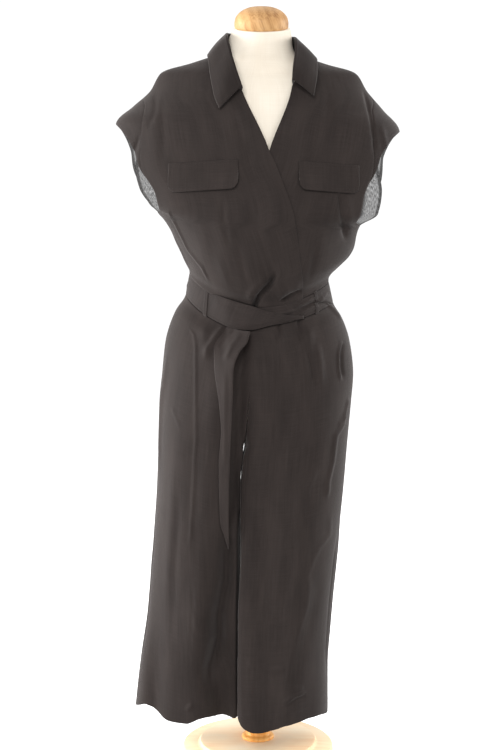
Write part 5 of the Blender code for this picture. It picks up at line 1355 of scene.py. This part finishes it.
def makeTail():
    places = np.linspace(0, len(tail["rows"]) - 1, tail["rowsDown"] + 1)
    row, places = rowsAt(tail["rows"], places), places[:, None]
    part = edgedShares(tail["columns"], tail["width"])[None, :]
    x = row[:, 1:2] + (row[:, 2:3] - row[:, 1:2]) * part
    turn = np.degrees(np.arccos(x / np.where(x > 0, bodice["rows"][0][5], bodice["rows"][0][4])))
    waist = bodiceSurface(np.zeros_like(turn), turn)[..., 2]
    edge = waist + beltSection(turn - 360, 0 * turn)[0] - tail["tuck"]
    z = row[:, 0:1] + (edge - tail["rows"][0][0]) * ease(1 - places / tail["follows"])
    points = onLegFront(x, z)
    folded = [
        crease for crease in trousers["creases"]
        if crease[0] == "front" and crease[1] > 0 and crease[2] > tail["overFolds"]
    ]
    points[..., 1] -= creaseHeight(folded, points, np.broadcast_to((0.0, -1.0, 0.0), points.shape))
    start, within = tail["flushRows"]
    flush = 1 - ease((places - start) / within)
    away = np.clip(part / tail["slope"], 0, 1)
    start, within = tail["standsRows"]
    stands = tail["stands"] * away * ease((start - places) / within)
    points[..., 1] -= tail["lift"] * (1 - flush * (1 - away) * tail["flush"]) + stands
    normals = gridNormals(points)
    normals = normals * np.where(normals[..., 1:2] > 0, -1, 1)
    near = np.minimum(part, 1 - part) * (row[:, 2:3] - row[:, 1:2])
    points[..., 1] -= creaseHeight(tail["creases"], points, normals) + pressedLine(near, sizes["sewnDip"])
    # the hanging end wears the lighter copy of the cloth, a painted light
    makeSheet("beltTail", points, normals, "belt_tail", tail["thick"], inside=evenOutside, finish=tailPaintedLight)


print("hanging end of the belt")
makeTail()

form = dict(
    # z, side, front and back reach, fullness
    rows=(
        (0.745, 0.15, 0.094, 0.1, 2.2),
        (0.757, 0.16, 0.102, 0.11, 2.2),
        (0.82, 0.17, 0.108, 0.12, 2.2),
        (0.88, 0.166, 0.106, 0.116, 2.2),
        (0.94, 0.145, 0.092, 0.1, 2.15),
        (0.99, 0.124, 0.086, 0.088, 2.1),
        (1.03, 0.118, 0.086, 0.086, 2.1),
        (1.1, 0.128, 0.098, 0.092, 2.1),
        (1.17, 0.143, 0.112, 0.1, 2.15),
        (1.22, 0.151, 0.117, 0.105, 2.2),
        (1.3, 0.16, 0.104, 0.11, 2.2),
        (1.37, 0.176, 0.086, 0.104, 2.1),
        (1.41, 0.186, 0.072, 0.092, 1.95),
        (1.434, 0.19, 0.06, 0.078, 1.7),
        (1.449, 0.1835, 0.052, 0.068, 1.5),
        (1.461, 0.1435, 0.051, 0.064, 1.5),
        (1.4725, 0.091, 0.0515, 0.058, 1.68),
        (1.486, 0.0755, 0.0535, 0.058, 1.95),
        (1.502, 0.068, 0.055, 0.057, 2.0),
        (1.517, 0.064, 0.056, 0.056, 2.0),
        (1.5365, 0.0585, 0.056, 0.056, 2.0),
    ),
    rings=150, sectors=128, tilt=0.19, tiltFrom=1.486, shift=0.0062, girth=0.12,
    seamAngles=(90, 58, 122, 0, 180, 270, 236, 304), seamDip=0.0006, seamWidth=1.1, seamReach=0.1,
)


def makeForm():  # a globe's rings set out at the form's sections
    rings, last = form["rings"], len(form["rows"]) - 1
    bm = bmesh.new()
    bmesh.ops.create_uvsphere(bm, u_segments=form["sectors"], v_segments=rings + 1, radius=1.0)
    mesh = meshFrom(bm, "formTorso")
    globe = readPoints(mesh)
    index = np.rint((np.arcsin(np.clip(globe[:, 2], -1, 1)) / math.pi + 0.5) * (rings + 1)) - 1
    row = rowsAt(form["rows"], np.clip(index, 0, rings - 1) / (rings - 1) * last)
    z, side, front, back, fullness = np.moveaxis(row, -1, 0)
    angle = np.arctan2(globe[:, 1], globe[:, 0])
    turns = [(np.degrees(angle) + seam + 540) % 360 - 180 for seam in form["seamAngles"]]
    seams = sum(np.exp(-((turn / form["seamWidth"]) ** 2)) for turn in turns)
    shrink = 1 - form["seamDip"] * seams / form["seamReach"]
    pole = np.where((index < 0) | (index > rings - 1), 0.0, 1.0)
    y = np.where(globe[:, 1] > 0, back, front) * signedPower(np.sin(angle), fullness) * shrink * pole
    neck = ease((z - form["tiltFrom"]) / (form["rows"][-1][0] - form["tiltFrom"]))
    x = side * signedPower(np.cos(angle), fullness) * shrink * pole + form["shift"] * neck
    mesh.vertices.foreach_set("co", np.stack([x, y, z + y * form["tilt"] * neck], axis=1).ravel())
    layCut(mesh, np.stack([angle * form["girth"], z], axis=1))
    mesh.update()
    mesh.shade_smooth()
    mesh.materials.append(linen)
    fitPiece(newPiece("formTorso", mesh), "linen", "form_torso")


print("dress form")
makeForm()

stand = dict(
    steps=96, seam=0.0003, postRadius=0.0205, weld=0.00002, sharp=38,
    # radius and height, from the outer foot upwards
    base=((0.158, 0.0), (0.1615, 0.0025), (0.162, 0.004), (0.162, 0.016), (0.1612, 0.0185), (0.158, 0.021),
        (0.131, 0.0225),
          (0.1275, 0.0235), (0.126, 0.025), (0.125, 0.029), (0.1238, 0.0308), (0.12, 0.032), (0.06, 0.0326),
              (0.0, 0.033)),
    collar=((0.034, 0.0), (0.0345, 0.002), (0.0345, 0.004), (0.033, 0.0066), (0.03, 0.008), (0.0272, 0.0092),
        (0.026, 0.011), (0.0262, 0.014), (0.0265, 0.02),
            (0.0255, 0.0214), (0.023, 0.022), (0.0, 0.022)),
    cap=((0.053, 0.0), (0.0548, 0.004), (0.055, 0.01), (0.053, 0.02), (0.047, 0.029),
         (0.036, 0.037), (0.02, 0.0422), (0.0, 0.0438)),
)


def makeTurned(name, profile, floor, finish, slot, node, tilt=0.0, shift=0.0, smooth=0):
    outline = np.array(profile)
    if smooth:
        outline = rowsAt(profile, np.linspace(0, len(profile) - 1, smooth))
    bm = bmesh.new()
    line = [bm.verts.new((0.0, 0.0, outline[0][1]))] + [bm.verts.new((r, 0.0, h)) for r, h in outline]
    geom = line + [bm.edges.new(pair) for pair in zip(line, line[1:])]
    turn = dict(cent=(0, 0, 0), axis=(0, 0, 1), angle=2 * math.pi, steps=stand["steps"])
    bmesh.ops.spin(bm, geom=geom, use_merge=True, **turn)
    bmesh.ops.remove_doubles(bm, verts=bm.verts[:], dist=stand["weld"])
    bmesh.ops.recalc_face_normals(bm, faces=bm.faces[:])
    bmesh.ops.rotate(bm, verts=bm.verts[:], cent=(0, 0, 0), matrix=Matrix.Rotation(tilt, 3, "X"))
    bmesh.ops.translate(bm, verts=bm.verts[:], vec=(shift, 0, floor))
    mesh = meshFrom(bm, name)
    mesh.shade_smooth()
    mesh.set_sharp_from_angle(angle=math.radians(stand["sharp"]))
    mesh.materials.append(finish)
    fitPiece(newPiece(name, mesh), slot, node)


print("stand and neck cap")
baseTop = stand["base"][-1][1]
foot = baseTop + stand["collar"][-1][1] + 2 * stand["seam"]
postTop = form["rows"][0][0] - stand["seam"]
makeTurned("standBase", stand["base"], 0.0, baseWood, "pale_wood", "stand_base")
makeTurned("postCollar", stand["collar"], baseTop + stand["seam"], postWood, "varnished_wood", "post_collar")
postLine = ((stand["postRadius"], 0.0), (stand["postRadius"], postTop - foot), (0.0, postTop - foot))
makeTurned("standPost", postLine, foot, postWood, "varnished_wood", "stand_post")
makeTurned("neckCap", stand["cap"], form["rows"][-1][0] + stand["seam"], capWood, "varnished_wood", "neck_cap",
           math.atan(form["tilt"]), form["shift"], 40)

print("stitching")

stitching = dict(length=0.0021, gap=0.0009, halfWidth=0.00028, proud=0.00005, ahead=0.0006)


def inset(points, normals, edge, distance, skip=(0.0, 0.0)):
    # the line that runs a distance in from one edge of a grid: first, last, left or right
    axis = 0 if edge in ("first", "last") else 1
    if axis == 1:
        points, normals = points.swapaxes(0, 1), normals.swapaxes(0, 1)
    if edge in ("last", "right"):
        points, normals = points[::-1], normals[::-1]
    run = runs(points, 0)
    line, ups = [], []
    for column in range(points.shape[1]):
        place = np.interp(distance, run[:, column], np.arange(len(run)))
        low = min(int(place), len(run) - 2)
        part = place - low
        line.append(points[low, column] * (1 - part) + points[low + 1, column] * part)
        ups.append(normals[low, column] * (1 - part) + normals[low + 1, column] * part)
    line, ups = np.array(line), np.array(ups)
    along = np.concatenate([[0.0], np.cumsum(np.linalg.norm(np.diff(line, axis=0), axis=1))])
    keep = (along >= skip[0]) & (along <= along[-1] - skip[1])
    return line[keep], ups[keep]


def sewLine(mesh, line, ups):
    along = np.concatenate([[0.0], np.cumsum(np.linalg.norm(np.diff(line, axis=0), axis=1))])
    pitch = stitching["length"] + stitching["gap"]
    spots = np.arange(pitch, along[-1] - pitch / 2, pitch)

    def sampled(values, at):
        return np.stack([np.interp(at, along, values[:, k]) for k in range(3)], axis=1)

    ahead = sampled(line, spots + stitching["ahead"])
    bm = bmesh.new()
    for a, b, u in zip(sampled(line, spots), ahead, unit(sampled(ups, spots))):
        way, rise = Vector(b - a).normalized(), Vector(u)
        side = rise.cross(way).normalized()
        turn = Matrix((way, side, way.cross(side))).transposed().to_4x4()
        size = Matrix.Diagonal((stitching["length"] / 2, stitching["halfWidth"], stitching["halfWidth"], 1))
        spot = Matrix.Translation(Vector(a) + rise * stitching["proud"])
        bmesh.ops.create_icosphere(bm, subdivisions=1, radius=1.0, matrix=spot @ turn @ size)
    part = meshFrom(bm, "row")
    mesh.from_mesh(part)
    bpy.data.meshes.remove(part)


def makeStitching(name, rows):
    whole = bmesh.new()
    for sheet, edge, distance, *bare in rows:
        _, points, normals = pieces[sheet]
        line, ups = inset(points, normals, edge, distance, bare)
        sewLine(whole, line, ups)
    mesh = meshFrom(whole, name)
    mesh.uv_layers.new(name="cut")
    mesh.shade_smooth()
    mesh.materials.append(thread)
    fitPiece(newPiece(name, mesh), "cloth")


# each row has its sheet, the edge it follows, its distance in from it, and what is left bare at both its ends
flapNames, sleeveNames = ("pocketFlapRight", "pocketFlapLeft"), ("sleeveRight", "sleeveLeft")
legNames = ("trouserFrontRight", "trouserFrontLeft", "trouserBackRight", "trouserBackLeft")
flapSeams = (("last", 0.006, 0.006), ("left", 0.002, 0.008), ("right", 0.002, 0.008))
flapRows = [(name, edge, flaps["sewing"], *bare) for name in flapNames for edge, *bare in flapSeams]
makeStitching("flapStitching", flapRows + [(name, "first", 0.004, 0.001, 0.001) for name in flapNames])
collarSeams = (("right", 0.006), ("first", 0.024), ("last", 0.028))
collarRows = [("collarCloth", edge, collar["sewing"], bare, 0.006) for edge, bare in collarSeams]
makeStitching("collarStitching", collarRows)
makeStitching("hemStitching", [(name, "last", trousers["hem"], 0.001, 0.001) for name in legNames])
makeStitching("sleeveStitching", [(name, "right", sleeve["hem"], 0.012, 0.012) for name in sleeveNames])
beltSeams = (
    ("beltBand", "first", 0.005), ("beltBand", "last", 0.005),
    ("beltTail", "left", 0.004), ("beltTail", "right", 0.004),
)
makeStitching("beltStitching", [(*seam, 0.001, 0.001) for seam in beltSeams])

print("cloth cuts")

# width and length that each piece was cut to, its area, how it hangs and what it rests on
cutSizes = dict(
    bodiceFrontRight=(0.42, 0.56, 0.15, "draped", ("formTorso",)),
    bodiceFrontLeft=(0.4, 0.56, 0.14, "draped", ("formTorso",)),
    bodiceBack=(0.52, 0.58, 0.25, "draped", ("formTorso",)),
    sleeveRight=(0.075, 0.34, 0.0148, "hung", ("bodiceBack",)),
    sleeveLeft=(0.075, 0.34, 0.0148, "hung", ("bodiceBack",)),
    trouserFrontRight=(0.38, 0.92, 0.295, "hung", ("bodiceFrontRight",)),
    trouserFrontLeft=(0.38, 0.92, 0.295, "hung", ("bodiceFrontLeft",)),
    trouserBackRight=(0.38, 0.95, 0.295, "hung", ("bodiceBack",)),
    trouserBackLeft=(0.38, 0.95, 0.295, "hung", ("bodiceBack",)),
    collarCloth=(0.13, 0.54, 0.062, "folded", ("bodiceBack", "formTorso")),
    pocketFlapRight=(0.145, 0.06, 0.008, "laid", ("bodiceFrontRight",)),
    pocketFlapLeft=(0.13, 0.06, 0.007, "laid", ("bodiceFrontLeft",)),
    beltBand=(0.05, 1.05, 0.04, "draped", ("bodiceBack",)),
    beltTail=(0.07, 0.47, 0.014, "hung", ("trouserFrontRight",)),
)
for name, (width, length, area, held, restsOn) in cutSizes.items():
    print(f"cut {name} {cuts[name]:.4f} of {area}")
